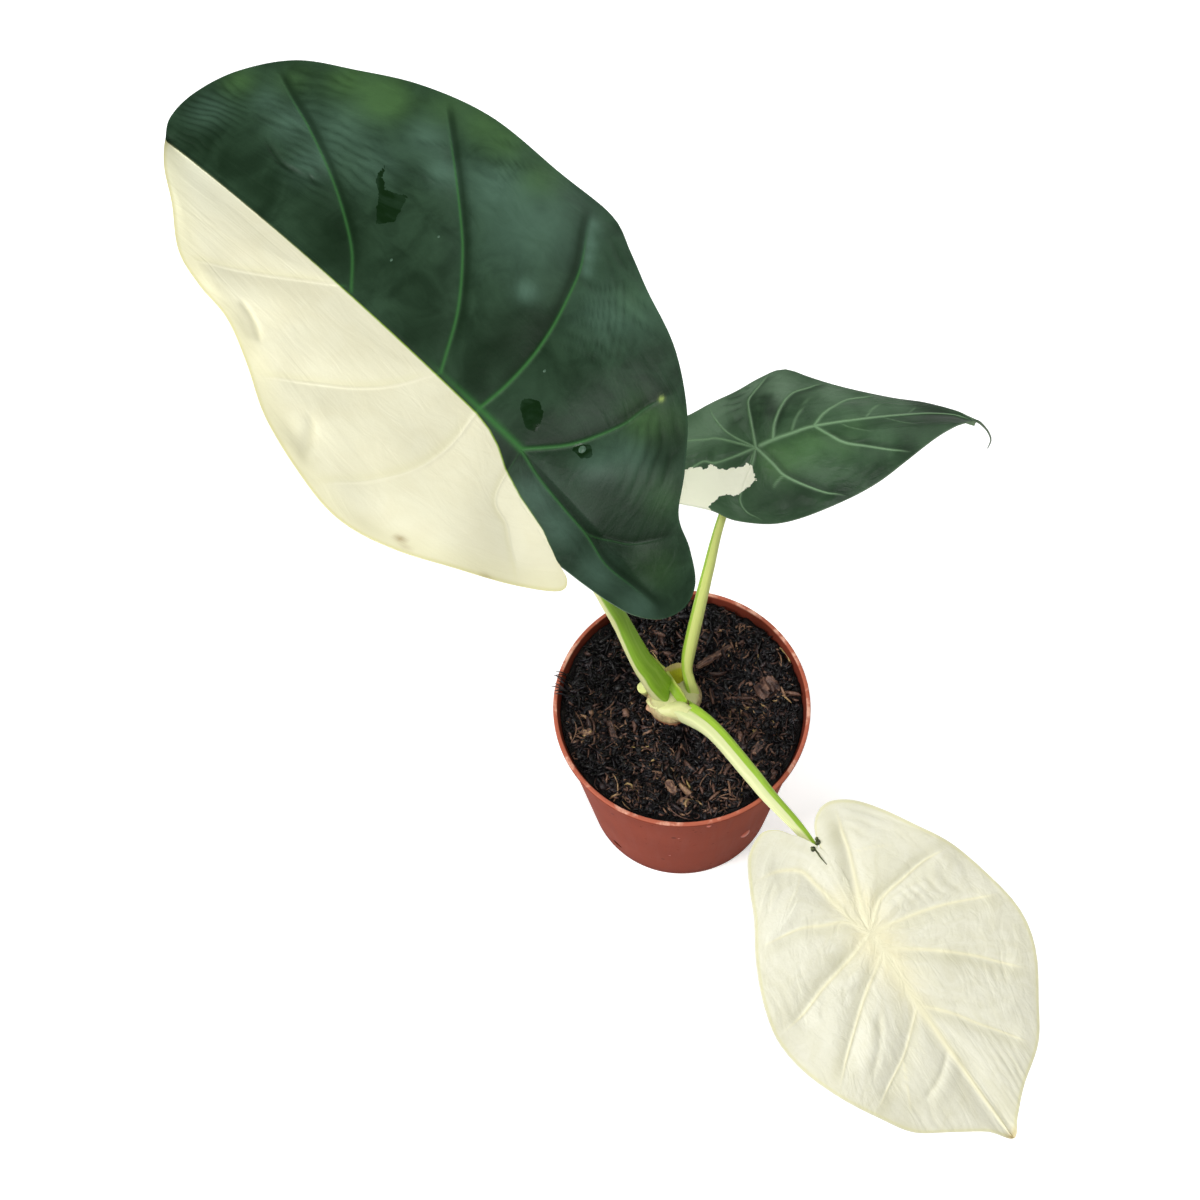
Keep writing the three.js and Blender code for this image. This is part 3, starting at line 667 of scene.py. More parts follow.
def ribFields(leaf, flat, phases, ribs, lengths):
    # per point: the raised cord of the nearest ribs, the distance to them, a mask of painted shade beside
    # them, and the cushions between cross wrinkles, which leave the ribs square and bow towards the midrib
    cord = np.zeros(flat.shape[:-1])
    nearest = np.full(flat.shape[:-1], 60.0)
    away = np.full(flat.shape[:-1], 60.0)
    shade = np.zeros(flat.shape[:-1])
    for rib in ribs:
        if rib["strength"] == 0:
            continue
        gap, along, side = lineDistance(flat, rib["path"])
        away = np.minimum(away, gap)
        fade = rib["strength"] * (1 - smoothstep(0.75, 0.98, along))
        width = rib["width"] * (1 - 0.6 * along)
        nearest = np.minimum(nearest, gap + 20 * (1 - fade) * smoothstep(0.7, 1, along))
        cord = np.maximum(cord, fade * np.exp(-((gap / width) ** 2)))
        reach = rib["width"] * 2.2
        beside = np.exp(-(((gap - reach) / (reach * 1.1)) ** 2)) * (side == rib["shade"])
        shade = np.maximum(shade, beside * smoothstep(0.03, 0.2, along) * (1 - smoothstep(0.9, 1, along)))
    for points, width, strength in leaf["twigs"]:
        gap, along, _ = lineDistance(flat, smoothLine(points, 12))
        fade = strength * (1 - smoothstep(0.6, 1, along))
        cord = np.maximum(cord, fade * np.exp(-((gap / width) ** 2)))
    within = (phases % 1)[:, None]
    place = (lengths + leaf["wrinkleBow"] * 4 * within * (1 - within)) / leaf["wrinkleLength"]
    x, y = flat[..., 0], flat[..., 1]
    place = place + 0.7 * latticeNoise(x, y, 19.0, 4) + 0.25 * latticeNoise(x, y, 7.0, 5)
    cushions = np.abs(np.sin(math.pi * place)) ** 0.7
    return cord, nearest, shade, cushions, away


bladeTops = {}


def onBlade(name, x, y):
    # the grid point of a blade's upper face nearest to x and y, and the direction that it looks in
    flat, top, normal = bladeTops[name]
    nearest = int(np.argmin(((flat - (x, y)) ** 2).sum(-1)))
    return top[nearest], normal[nearest]


def creaseHeights(leaf, flat):
    # a fold is a bell-shaped furrow with a wider bell beside it; a ripple is a softer one, open to both sides
    creases = np.zeros(flat.shape[:-1])
    for points, depth, bulge in leaf["folds"]:
        gap, along, side = lineDistance(flat, smoothLine(points, 16))
        ends = smoothstep(0, 0.2, along) * (1 - smoothstep(0.8, 1, along))
        swelling = 0.8 * np.exp(-(((gap - 4.5) / 3.5) ** 2)) * (side == bulge)
        creases += depth * ends * (swelling - np.exp(-((gap / 1.3) ** 2)))
    if "ripples" in leaf:
        first, last, count = leaf["ripples"]
        for t in np.linspace(0, 1, count):
            points = np.array(first) * (1 - t) + np.array(last) * t + (0, 1.2 * math.sin(9 * t))
            gap, along, _ = lineDistance(flat, smoothLine(points, 16))
            ends = smoothstep(0, 0.2, along) * (1 - smoothstep(0.7, 1, along))
            swelling = 0.5 * np.exp(-(((gap - 2.7) / 1.7) ** 2))
            creases += 0.5 * ends * (swelling - np.exp(-((gap / 1.8) ** 2)))
    return creases


def makeBlade(name, leaf, material, node, extra):
    # the upper face is the folded and bent leaf lifted by its wave, cushions, creases, wrinkles and ribs;
    # the lower face lies under it by a thickness that shrinks to the margin and grows along the ribs
    flat, phases, shares, ribs, spine = bladeGrid(leaf)
    columns, rows = flat.shape[:2]
    x, y = flat[..., 0], flat[..., 1]
    share = np.broadcast_to(shares, (columns, rows))
    lengths = np.linalg.norm(np.diff(flat, axis=1), axis=-1).cumsum(1)
    lengths = np.concatenate([np.zeros((columns, 1)), lengths], 1)
    cord, nearest, shade, cushions, away = ribFields(leaf, flat, phases, ribs, lengths)
    gap, along, _ = lineDistance(flat, spine if len(spine) == 2 else spine[::4])
    thick, thin = leaf["midribWidth"]
    midribMask = np.exp(-((gap / (thin + (thick - thin) * along**1.3)) ** 2)) * smoothstep(0, 0.08, along)
    nearest = np.minimum(nearest, gap)
    turn = np.arctan2(y, x)
    wave = leaf["wave"] * share**2 * np.sin(leaf["waveCount"] * turn + leaf["wavePhase"])
    furrow = np.exp(-((nearest / leaf["quiltSpread"]) ** 2))
    relief = wave + leaf["quilt"] * share * (1 - share) * 4 * (0.5 - furrow)
    relief = relief - 0.35 * np.exp(-((nearest / 2.6) ** 2)) * (1 - smoothstep(0.9, 1, share))
    inside = smoothstep(0, 0.12, share) * (1 - smoothstep(0.9, 1, share))
    relief = relief + spotSum(flat, leaf["spots"]["swell"]) * inside
    creases = creaseHeights(leaf, flat)
    patchy = np.clip(0.35 + 1.1 * latticeNoise(x, y, 23.0, 7), 0.05, 1)
    patchy = patchy * np.where(y > 0, leaf.get("leftWrinkle", 1), 1)
    amount = patchy * smoothstep(0.1, 0.4, share) * (1 - smoothstep(0.93, 1, share))
    amount = amount * smoothstep(1.5, 5, away)
    relief = relief + creases + leaf["wrinkle"] * amount * (cushions - 0.5)
    top = bladePoint(leaf, x, y, relief + 0.4 * np.maximum(cord, midribMask))
    smooth = bladePoint(leaf, x, y, wave)
    ahead = bladePoint(leaf, x + 0.5, y, wave) - smooth
    aside = bladePoint(leaf, x, y + 0.5, wave) - smooth
    normal = np.cross(ahead, aside)
    normal = normal / np.linalg.norm(normal, axis=-1, keepdims=True)
    bladeTops[name] = tuple(v.reshape(columns * rows, -1) for v in (flat, top, normal))
    under = bladeThickness + (marginThickness - bladeThickness) * share
    under = under + ribRidge * (1 - share) * np.exp(-((nearest / ribSpread) ** 2))
    bottom = bladePoint(leaf, x, y, relief) - normal * under[..., None]
    count = columns * rows
    points = np.concatenate([top.reshape(-1, 3), bottom.reshape(-1, 3)])
    faces = np.concatenate([gridFaces(columns, rows, False), gridFaces(columns, rows, False, count, True)])
    last = np.arange(rows - 1)
    seam = (columns - 1) * rows  # joins the last column to the first, on both faces
    closing = np.stack([seam + last, seam + last + 1, last + 1, last], -1)
    rim = np.arange(columns) * rows + rows - 1
    rimNext = np.roll(rim, -1)
    faces = np.concatenate([faces, closing, closing[:, ::-1] + count,
                            np.stack([rim, rimNext, rimNext + count, rim + count], -1)])
    across = np.broadcast_to(phases[:, None], (columns, rows))
    grain = np.stack([lengths / 100, across], -1).reshape(-1, 2)
    grain = np.concatenate([grain, grain])[faces.ravel()].reshape(-1, 4, 2)
    wraps = np.ptp(grain[..., 1], axis=1) > 3
    grain[..., 1] = np.where(wraps[:, None] & (grain[..., 1] < 1), len(ribs), grain[..., 1])
    # shade and hollows are masks of painted shade: beside the ribs, between the wrinkles' cushions and in
    # creases
    values = {"rib": cord, "midrib": midribMask, "edge": lengths[:, -1:] - lengths, "alongBlade": x,
              "shade": shade, "hollowShade": amount * (1 - cushions) + np.clip(-creases, 0, 1)}
    for key in ("dark", "paintedSheen", "glow"):
        values[key] = spotSum(flat, leaf["spots"][key])
    values.update({key: make(flat) for key, make in extra.items()})
    values = {key: np.concatenate([v.ravel(), v.ravel()]) for key, v in values.items()}
    values["underside"] = np.concatenate([np.zeros(count), np.ones(count)])
    makePiece(name, points, faces, material, node, values, grain, sharp=50)


# Colours of the blades, as they look on screen. On the green blades the dark tone is painted shade, the
# bluish tone a painted reflection of the sky and the light tone partly a painted highlight; the whitest
# cream at the large blade's tip is a painted highlight. On the pale blade the shade tone also carries
# painted shade and the bright tone is a painted highlight.
largeLook = {
    "dark": tone(8, 30, 9), "deep": tone(27, 47, 30), "green": tone(44, 68, 48),
    "skyReflection": tone(76, 105, 88), "light": tone(74, 110, 62), "rib": tone(54, 106, 52),
    "ribEnd": tone(66, 104, 76), "line": tone(150, 186, 50), "lineEnd": tone(206, 208, 150),
    "wet": tone(10, 34, 8), "cream": tone(247, 244, 213), "creamShade": tone(243, 239, 206),
    "creamRib": tone(252, 248, 218), "creamTipHighlight": tone(255, 255, 226), "margin": tone(230, 225, 168),
    "stain": tone(150, 120, 60), "spark": tone(190, 216, 110), "under": tone(104, 128, 98),
}

middleLook = {
    "dark": tone(18, 38, 20), "deep": tone(46, 72, 47), "green": tone(70, 99, 70),
    "skyReflection": tone(104, 132, 104), "light": tone(80, 122, 66), "rib": tone(128, 164, 122),
    "cream": tone(255, 255, 230), "margin": tone(128, 150, 122), "under": tone(112, 138, 104),
}

paleLook = {
    "ivory": tone(238, 236, 215), "shade": tone(218, 215, 184), "bright": tone(246, 245, 226),
    "rib": tone(247, 242, 206), "glow": tone(246, 238, 196), "margin": tone(226, 222, 168),
    "tip": tone(200, 178, 124), "under": tone(226, 224, 190),
}


def bladeSkin(tree, surface, depth, strength):
    # the shared start of each blade's material: fine relief, its bump, and the soft masks of the dark spots
    # (painted shade), the sheen spots (painted sheen) and the glow spots
    grain = addNode(tree, "ShaderNodeUVMap", uv_map="grain").outputs[0]
    place = objectPlace(tree)
    fine = useGroup(tree, wrinkles, {"Grain": grain, "Place": place, "Edge": readValue(tree, "edge")})
    cover(tree, surface, bump=(fine["Height"], depth, strength))
    wander = calc(tree, "SUBTRACT", fine["Streaks"], 0.5)
    masks = {}
    for key, sway in (("dark", 0.5), ("paintedSheen", 0.9), ("glow", 0.9)):
        value = readValue(tree, key)
        moved = scaled(tree, times(tree, wander, sway), plus(tree, value, 0.25), value)
        masks[key] = calc(tree, "MINIMUM", calc(tree, "MAXIMUM", moved, 0.0), 1.0)
    return place, fine, masks


def halfGreenMaterial(look):
    # green and cream on both sides of the half line, each with its own blotches, ribs and rim, and a thin
    # pale line between them. On the green, sheen spots are a painted reflection of the sky, glow spots partly
    # a painted highlight, and dark spots, bands beside the ribs and the wrinkles' hollows painted shade; the
    # cream gets a painted highlight towards the tip and painted shade in its hollows
    material, tree, surface = newMaterial("halfGreenLeaf", 0.36, 0.16)
    place, fine, masks = bladeSkin(tree, surface, 0.0006, 0.4)
    cream = useGroup(tree, ragged, {
        "Distance": readValue(tree, "cream"), "Place": place, "Reach": 0.5, "Scale": 260.0})["Mask"]
    along = readValue(tree, "alongBlade")
    edge = readValue(tree, "edge")
    ribs = readValue(tree, "rib")
    hollowShade = readValue(tree, "hollowShade")
    shade = readValue(tree, "shade")
    green = blendColour(tree, stepBetween(tree, fine["Cloud"], 0.3, 0.7), look["deep"], look["green"])
    # painted reflection, partly painted highlight, and painted shade of spots, rib bands and hollows
    green = layered(tree, green, [
        (masks["paintedSheen"], look["skyReflection"]),
        (masks["glow"], look["light"], 0.7),
        (masks["dark"], look["dark"], 0.8),
        (shade, look["dark"], 0.75),
        (hollowShade, look["dark"], 0.6)])
    wet = useGroup(tree, ragged, {
        "Distance": readValue(tree, "wet"), "Place": place, "Reach": 3.0, "Scale": 300.0})["Mask"]
    soaked = scaled(tree, stepBetween(tree, fine["Streaks"], 0.6, 0.4), 0.4, 0.55)
    green = blendColour(tree, times(tree, wet, soaked), green, look["wet"])
    ribColour = blendColour(tree, stepBetween(tree, edge, 34.0, 6.0), look["rib"], look["ribEnd"])
    ribs = times(tree, ribs, scaled(tree, stepBetween(tree, edge, 10.0, 50.0), 0.45, 0.45))
    green = blendColour(tree, calc(tree, "POWER", ribs, 1.3), green, ribColour)
    midrib = times(tree, readValue(tree, "midrib"), stepBetween(tree, along, 60.0, 10.0))
    green = layered(tree, green, [
        (midrib, look["rib"]),
        (stepBetween(tree, edge, 1.2, 0.3), look["ribEnd"], 0.15)])
    pale = blendColour(tree, stepBetween(tree, fine["Cloud"], 0.3, 0.7), look["creamShade"], look["cream"])
    # a painted highlight towards the tip, and painted shade beside the ribs and in the hollows
    pale = layered(tree, pale, [
        (stepBetween(tree, along, 140.0, 215.0), look["creamTipHighlight"]),
        (ribs, look["creamRib"]),
        (plus(tree, shade, hollowShade), look["margin"], 0.22)])
    rim = plus(tree, times(tree, stepBetween(tree, edge, 2.0, 0.2), 0.6),
               times(tree, stepBetween(tree, edge, 14.0, 1.0), 0.3))
    pale = blendColour(tree, rim, pale, look["margin"])
    stain = times(tree, readValue(tree, "stain"), 0.8)
    pale = blendColour(tree, stain, pale, look["stain"])
    green = blendColour(tree, stain, green, look["spark"])
    colour = blendColour(tree, cream, green, pale)
    between = calc(tree, "ABSOLUTE", readValue(tree, "cream"))
    lineColour = blendColour(tree, stepBetween(tree, along, 90.0, 180.0), look["line"], look["lineEnd"])
    line = times(tree, stepBetween(tree, between, 0.7, 0.1), stepBetween(tree, along, -60.0, 10.0))
    line = times(tree, line, scaled(tree, stepBetween(tree, along, 170.0, 60.0), 0.5, 0.2))
    colour = blendColour(tree, line, colour, lineColour)
    below = readValue(tree, "underside")
    backColour = blendColour(tree, cream, look["under"], look["cream"], 0.9)
    colour = blendColour(tree, below, colour, backColour)
    rough = scaled(tree, fine["Cloud"], 0.18, 0.32)
    rough = scaled(tree, cream, 0.1, rough)
    rough = calc(tree, "MULTIPLY_ADD", wet, -0.26, rough, clamp=True)
    cover(tree, surface, colour, rough)
    return material


def patchedMaterial(look):
    # green blotches and pale ribs, and one cream patch with a ragged edge; sheen spots are a painted
    # reflection, glow spots partly a painted highlight, and dark spots, rib bands and hollows painted shade
    material, tree, surface = newMaterial("greenLeaf", 0.42, 0.2)
    place, fine, masks = bladeSkin(tree, surface, 0.0008, 0.5)
    cream = useGroup(tree, ragged, {
        "Distance": readValue(tree, "cream"), "Place": place, "Reach": 3.4, "Scale": 420.0})["Mask"]
    edge = readValue(tree, "edge")
    green = blendColour(tree, stepBetween(tree, fine["Cloud"], 0.3, 0.7), look["deep"], look["green"])
    # painted reflection and partly painted highlight, then painted shade of spots, rib bands and hollows
    green = layered(tree, green, [
        (masks["paintedSheen"], look["skyReflection"]),
        (masks["glow"], look["light"], 0.5),
        (masks["dark"], look["dark"], 0.8)])
    shade = plus(tree, readValue(tree, "shade"), readValue(tree, "hollowShade"))
    green = blendColour(tree, shade, green, look["dark"], 0.5)
    ribs = calc(tree, "MAXIMUM", readValue(tree, "rib"), readValue(tree, "midrib"))
    green = blendColour(tree, calc(tree, "POWER", ribs, 0.8), green, look["rib"], 0.9)
    colour = blendColour(tree, cream, green, look["cream"])
    fringe = times(tree, stepBetween(tree, edge, 0.9, 0.3), 0.25)
    colour = blendColour(tree, fringe, colour, look["margin"])
    backColour = blendColour(tree, cream, look["under"], look["cream"])
    colour = blendColour(tree, readValue(tree, "underside"), colour, backColour)
    cover(tree, surface, colour, scaled(tree, fine["Cloud"], 0.16, 0.34))
    return material


def ivoryMaterial(look):
    # ivory with painted shade in dark spots, beside the ribs and in the hollows, a painted highlight on the
    # sheen spots, warmer yellow round the joint, and yellowish ribs, rim and tip
    material, tree, surface = newMaterial("ivoryLeaf", 0.5, 0.25)
    place, fine, masks = bladeSkin(tree, surface, 0.0010, 0.55)
    edge = readValue(tree, "edge")
    mottle = noiseAt(tree, place, 330.0, 3.0)
    colour = blendColour(tree, stepBetween(tree, fine["Streaks"], 0.3, 0.75), look["ivory"], look["shade"])
    # a painted highlight on the sheen spots
    colour = layered(tree, colour, [
        (0.55, look["ivory"]),
        (masks["paintedSheen"], look["bright"], 0.8)])
    # painted shade of the rib bands, dark spots and hollows
    shade = plus(tree, times(tree, readValue(tree, "shade"), 0.7), masks["dark"])
    shade = plus(tree, shade, times(tree, readValue(tree, "hollowShade"), 0.5))
    colour = layered(tree, colour, [
        (shade, look["shade"], 0.6),
        (stepBetween(tree, mottle, 0.55, 0.75), look["shade"], 0.2),
        (masks["glow"], look["glow"], 0.8)])
    ribs = calc(tree, "MAXIMUM", readValue(tree, "rib"), readValue(tree, "midrib"))
    colour = blendColour(tree, ribs, colour, look["rib"])
    rim = plus(tree, times(tree, stepBetween(tree, edge, 2.2, 0.9), 0.5),
               times(tree, stepBetween(tree, edge, 5.0, 1.0), 0.12))
    rim = times(tree, rim, stepBetween(tree, edge, 0.2, 0.7))
    colour = blendColour(tree, rim, colour, look["margin"])
    tip = stepBetween(tree, readValue(tree, "alongBlade"), 108.0, 115.0)
    colour = layered(tree, colour, [
        (tip, look["tip"], 0.7),
        (readValue(tree, "underside"), look["under"])])
    cover(tree, surface, colour, scaled(tree, fine["Cloud"], 0.14, 0.4))
    return material


# The line between the green and the cream half, along the midrib and then behind the joint to the notch
halfLine = np.array([(240, 0.5), (19, 2.5), (10, 4), (2, 7), (-7, 12), (-21, 17), (-36, 20),
                     (-50, 25.4), (-80, 26)], float)
wetPatches = [
    [(131, -54), (126, -47), (121, -43), (114, -46), (111, -48), (109, -42), (107, -35), (112, -29),
     (117, -34), (121, -40), (128, -44)],
    [(10, -16), (5, -20), (0, -18), (-3, -14), (-4, -9), (-1, -8), (4, -10), (8, -12)],
    [(-19, -19), (-24, -22), (-28, -19), (-25, -15), (-20, -15)],
]
creamPatch = [
    (-44, -2), (-32, -3), (-25, -3), (-24, -5), (-20, -3), (-18, -6), (-11, -7), (-7, -7), (-5, -6),
    (-3, -7), (-3, -12), (-2, -14), (-4, -15), (-8, -17), (-11, -19), (-16, -18), (-20, -18), (-23, -20),
    (-26, -21), (-22, -26), (-39, -19), (-56, -17), (-56, -5)]
stains = [(-4, 70, 1.6, 1.0), (-8, 71, 1.2, 0.6), (-36, 54, 1.5, 0.5), (-29.5, -58, 1.0, 0.8)]


def creamSide(flat):
    # distance to the half line, above zero on its cream side
    gap, _, side = lineDistance(flat, halfLine)
    return -gap * side


def wetAreas(flat):
    return np.max([patchDistance(flat, corners) for corners in wetPatches], axis=0)


def creamArea(flat):
    return patchDistance(flat, creamPatch)


def stainSpot(flat):
    return spotSum(flat, stains)


makeBlade("largeLeafBlade", largeBlade, halfGreenMaterial(largeLook), "leaf_blade_large",
          {"cream": creamSide, "wet": wetAreas, "stain": stainSpot})
makeBlade("middleLeafBlade", middleBlade, patchedMaterial(middleLook), "leaf_blade_middle",
          {"cream": creamArea})
makeBlade("paleLeafBlade", paleBlade, ivoryMaterial(paleLook), "leaf_blade_pale", {})


# Stalks: centre line from the foot up, radius at each point, depth of the groove on the upper side at the
# foot and at the top. The cream part of the skin lies between two turns round the stalk, in degrees, and a
# pale line runs up it at the turn of its edge.
largeStalk = {
    "centre": [(-5.5, 7.4, 98), (-9.4, 9.2, 108), (-13.4, 12.2, 117), (-17.6, 15.6, 126),
               (-24.6, 23.2, 146), (-31, 28, 166), (-42, 39, 194), (-55, 52, 223), (-66.1, 63.2, 246.3)],
    "radius": [5.8, 6.2, 5.9, 5.2, 4.3, 4.1, 3.8, 3.5, 2.3],
    "groove": (0.34, 0.1), "creamTurns": (-122, -62), "edgeTurn": 84, "streaks": 3.2,
    "green": tone(132, 172, 46), "dark": tone(122, 162, 38), "pale": tone(160, 190, 88),
    "cream": tone(214, 214, 156), "foot": tone(110, 162, 16), "footReach": 0.16, "creamFrom": 0.085,
}

middleStalk = {
    "centre": [(6.6, 4.6, 98), (5.6, 7.6, 104), (4.6, 11, 108.6), (3.8, 15.2, 113.6), (5.2, 20.4, 122),
               (10.1, 30.7, 142), (15.2, 41, 161), (21, 52.3, 182), (28.7, 63.5, 199), (38.2, 73.2, 210.7)],
    "radius": [3.2, 3.1, 2.7, 2.6, 3.1, 3, 2.6, 2, 1.8, 1.4],
    "groove": (0.3, 0.1), "creamTurns": (-30, 150), "edgeTurn": -70, "streaks": 3.0,
    "green": tone(150, 184, 58), "dark": tone(136, 174, 48), "pale": tone(182, 200, 104),
    "cream": tone(200, 208, 120), "foot": tone(152, 128, 94), "footReach": 0.1,
}

paleStalk = {
    "centre": [(-3, 1, 98), (1.8, -4, 106.6), (13.4, -17.8, 114.2), (27.6, -40.8, 117.5),
               (35.5, -52.3, 115.5), (45.2, -63.4, 110.6), (51.2, -70.6, 106.6), (55.5, -76.5, 103.2),
               (64, -92, 98.6), (74.4, -111.8, 94.2)],
    "radius": [4.4, 5.2, 4.2, 3.9, 3.5, 2.9, 2.3, 1.7, 1.7, 1.2],
    "groove": (0.3, 0.1), "creamTurns": (2, 196), "edgeTurn": -60, "streaks": 3.4,
    "green": tone(162, 200, 60), "dark": tone(150, 192, 52), "pale": tone(184, 214, 100),
    "cream": tone(227, 231, 174), "foot": tone(226, 228, 170), "footReach": 0.02,
}

# The pale stalk's fleshy collar round the front of the corm, and the thread at the middle blade's tip
paleCollar = {
    "centre": [(-14.6, 6.2, 101.5), (-12, 1.8, 102.2), (-8.2, -0.6, 102.8), (-3.8, -1.4, 103.8),
               (0.2, -3, 105.6), (4.4, -7.2, 108.6)],
    "radius": [2.0, 2.6, 3.3, 4.2, 5.0, 4.6],
    "groove": (0, 0), "creamTurns": (-150, 82), "edgeTurn": 200, "streaks": 1.6, "grid": (60, 40),
    "green": tone(190, 172, 126), "dark": tone(180, 160, 116), "pale": tone(206, 196, 146),
    "cream": tone(222, 224, 158), "foot": tone(190, 176, 124), "footReach": 0.1, "soft": 30,
}

tipThread = {
    "centre": [(135.0, 83.9, 203.3), (138.2, 83.9, 202.1), (141.1, 81.2, 200.8), (142.9, 78.8, 198.9),
               (143.5, 76.9, 196.5), (142.1, 74.6, 194)],
    "radius": [0.5, 0.66, 0.5, 0.42, 0.34, 0.2],
    "groove": (0, 0), "creamTurns": (-1, 1), "edgeTurn": 0, "streaks": 2, "grid": (50, 14),
    "green": tone(96, 110, 92), "dark": tone(70, 86, 66), "pale": tone(120, 130, 110),
    "cream": tone(110, 122, 96), "foot": tone(66, 88, 66), "footReach": 0.4,
}


def stalkFrames(stalk, steps):
    # middle, upper and sideways direction at even steps of the centre line, and the radius there
    line = smoothLine(stalk["centre"], steps)
    tangent = np.gradient(line, axis=0)
    tangent = tangent / np.linalg.norm(tangent, axis=1, keepdims=True)
    upper = np.array([0, 0, 1]) - tangent * tangent[:, 2:]
    upper = upper / np.linalg.norm(upper, axis=1, keepdims=True)
    across = np.cross(tangent, upper)
    radius = smoothLine(np.array(stalk["radius"], float)[:, None], steps)[:, 0]
    return line, upper, across, radius


def makeStalk(name, stalk, node=None):
    # reach = radius times one less the groove, with a low lip on each side of the groove near the foot;
    # both ends are closed by flat caps
    steps, sides = stalk.get("grid", (130, 56))
    line, upper, across, radius = stalkFrames(stalk, steps)
    share = np.linspace(0, 1, steps)[:, None]
    turn = np.linspace(-math.pi, math.pi, sides, endpoint=False)[None]
    foot, top = stalk["groove"]
    groove = foot + (top - foot) * np.minimum(1, share * 2)
    lip = 0.45 * groove * (1 - smoothstep(0.1, 0.5, share))
    reach = 1 - groove * np.exp(-((turn / 0.6) ** 2)) + lip * np.exp(-(((np.abs(turn) - 0.85) / 0.25) ** 2))
    reach = reach + 0.014 * latticeNoise(share * 40, turn * 2 + 9, 1.0, 3)
    reach = radius[:, None] * reach
    rings = line[:, None] + reach[..., None] * (
        np.cos(turn)[..., None] * upper[:, None] + np.sin(turn)[..., None] * across[:, None])
    ends = np.stack([line[0], line[-1]])
    points = np.concatenate([rings.reshape(-1, 3), ends])
    faces = [tuple(f) for f in gridFaces(steps, sides, True)]
    count = steps * sides
    around = np.arange(sides)
    for centre, first in ((count, 0), (count + 1, count - sides)):
        faces += [(centre, first + a, first + (a + 1) % sides) for a in around]
    first, last = stalk["creamTurns"]
    degrees = np.degrees(turn)
    away = np.abs((degrees - (first + last) / 2 + 180) % 360 - 180)
    shapes = {
        "cream": (last - first) / 2 - away,
        "ringX": np.cos(turn), "ringY": np.sin(turn),
        "upStalk": share,
        "edgeLine": np.exp(-(((degrees - stalk["edgeTurn"]) / 11) ** 2)),
    }
    values = {key: np.append(np.broadcast_to(v, (steps, sides)).ravel(), [0, 0]) for key, v in shapes.items()}
    values["upStalk"][-1] = 1
    makePiece(name, points, faces, stalkMaterial(name + "Skin", stalk), node, values, sharp=60)


def stalkMaterial(name, look):
    # streaks run along the stalk: noise over the place round the ring and a slow share of the length
    material, tree, surface = newMaterial(name, 0.4, 0.3)
    up = readValue(tree, "upStalk")
    ring = addNode(tree, "ShaderNodeCombineXYZ", {
        "X": readValue(tree, "ringX"), "Y": readValue(tree, "ringY"), "Z": times(tree, up, look["streaks"])})
    streaks = noiseAt(tree, stretched(tree, ring.outputs[0], (3.4, 3.4, 1.2)), 1.0, 4.0, 0.6, 0.3)
    pores = noiseAt(tree, objectPlace(tree), 900.0, 2.0)
    green = blendColour(tree, stepBetween(tree, streaks, 0.38, 0.6), look["dark"], look["green"])
    green = layered(tree, green, [
        (stepBetween(tree, streaks, 0.52, 0.68), look["pale"], 0.25),
        (readValue(tree, "edgeLine"), look["cream"], 0.35)])
    shift = scaled(tree, streaks, 30.0, -15.0)
    soft = look.get("soft", 6.0)
    mask = stepBetween(tree, plus(tree, readValue(tree, "cream"), shift), 3.0 - soft, 3.0 + soft)
    if "creamFrom" in look:
        mask = times(tree, mask, stepBetween(tree, up, look["creamFrom"] - 0.03, look["creamFrom"]))
    cream = blendColour(tree, stepBetween(tree, streaks, 0.6, 0.42), look["cream"], look["dark"], 0.12)
    colour = blendColour(tree, mask, green, cream)
    reach = look["footReach"]
    foot = times(tree, stepBetween(tree, scaled(tree, streaks, 0.1, up), reach + 0.05, 0.05), 0.9)
    colour = blendColour(tree, foot, colour, look["foot"])
    height = plus(tree, streaks, times(tree, pores, 0.15))
    cover(tree, surface, colour, scaled(tree, pores, 0.2, 0.3), (height, 0.0005, 0.4))
    return material


makeStalk("largeLeafStalk", largeStalk, "leaf_stalk_large")
makeStalk("middleLeafStalk", middleStalk, "leaf_stalk_middle")
makeStalk("paleLeafStalk", paleStalk, "leaf_stalk_pale")
makeStalk("paleStalkCollar", paleCollar)
makeStalk("tipThread", tipThread)

# The dark scar that runs from the pale blade's notch towards its joint
notchScar = {
    "centre": [onBlade("paleLeafBlade", x, y)[0] + (0, 0, 0.35) for x, y in (
        (-44.9, 0.8), (-42.4, 0.9), (-39.4, 0.9), (-35.9, 0.9))],
    "radius": [0.42, 0.4, 0.3, 0.18],
    "groove": (0, 0), "creamTurns": (-1, 1), "edgeTurn": 0, "streaks": 6, "grid": (40, 10),
    "green": tone(86, 92, 44), "dark": tone(52, 60, 26), "pale": tone(120, 126, 70),
    "cream": tone(86, 92, 44), "foot": tone(52, 60, 26), "footReach": 0.1,
}
makeStalk("notchScar", notchScar)


# Sheaths: the large stalk's wing, which wraps the others, and the skin between it and the middle stalk.
# Each runs between an inner line and its free margin.
largeWing = {
    "inner": [(-15.6, 16.6, 128), (-11.4, 13.2, 118), (-7.2, 9.6, 111), (-4.6, 6.6, 108), (-2.2, 2.6, 107.6),
              (0.6, -2.2, 109)],
    "margin": [(-15, 18.8, 128.5), (-10.6, 18.6, 119.5), (-7, 17.4, 113), (-4, 13.4, 112.2), (-1.4, 8, 112.4),
               (1.2, 3, 112.8), (3.6, -2.6, 112.4)],
    "bulge": -0.9, "thick": 0.9,
    "body": tone(132, 166, 44), "rim": tone(178, 188, 96), "end": tone(74, 64, 30),
}

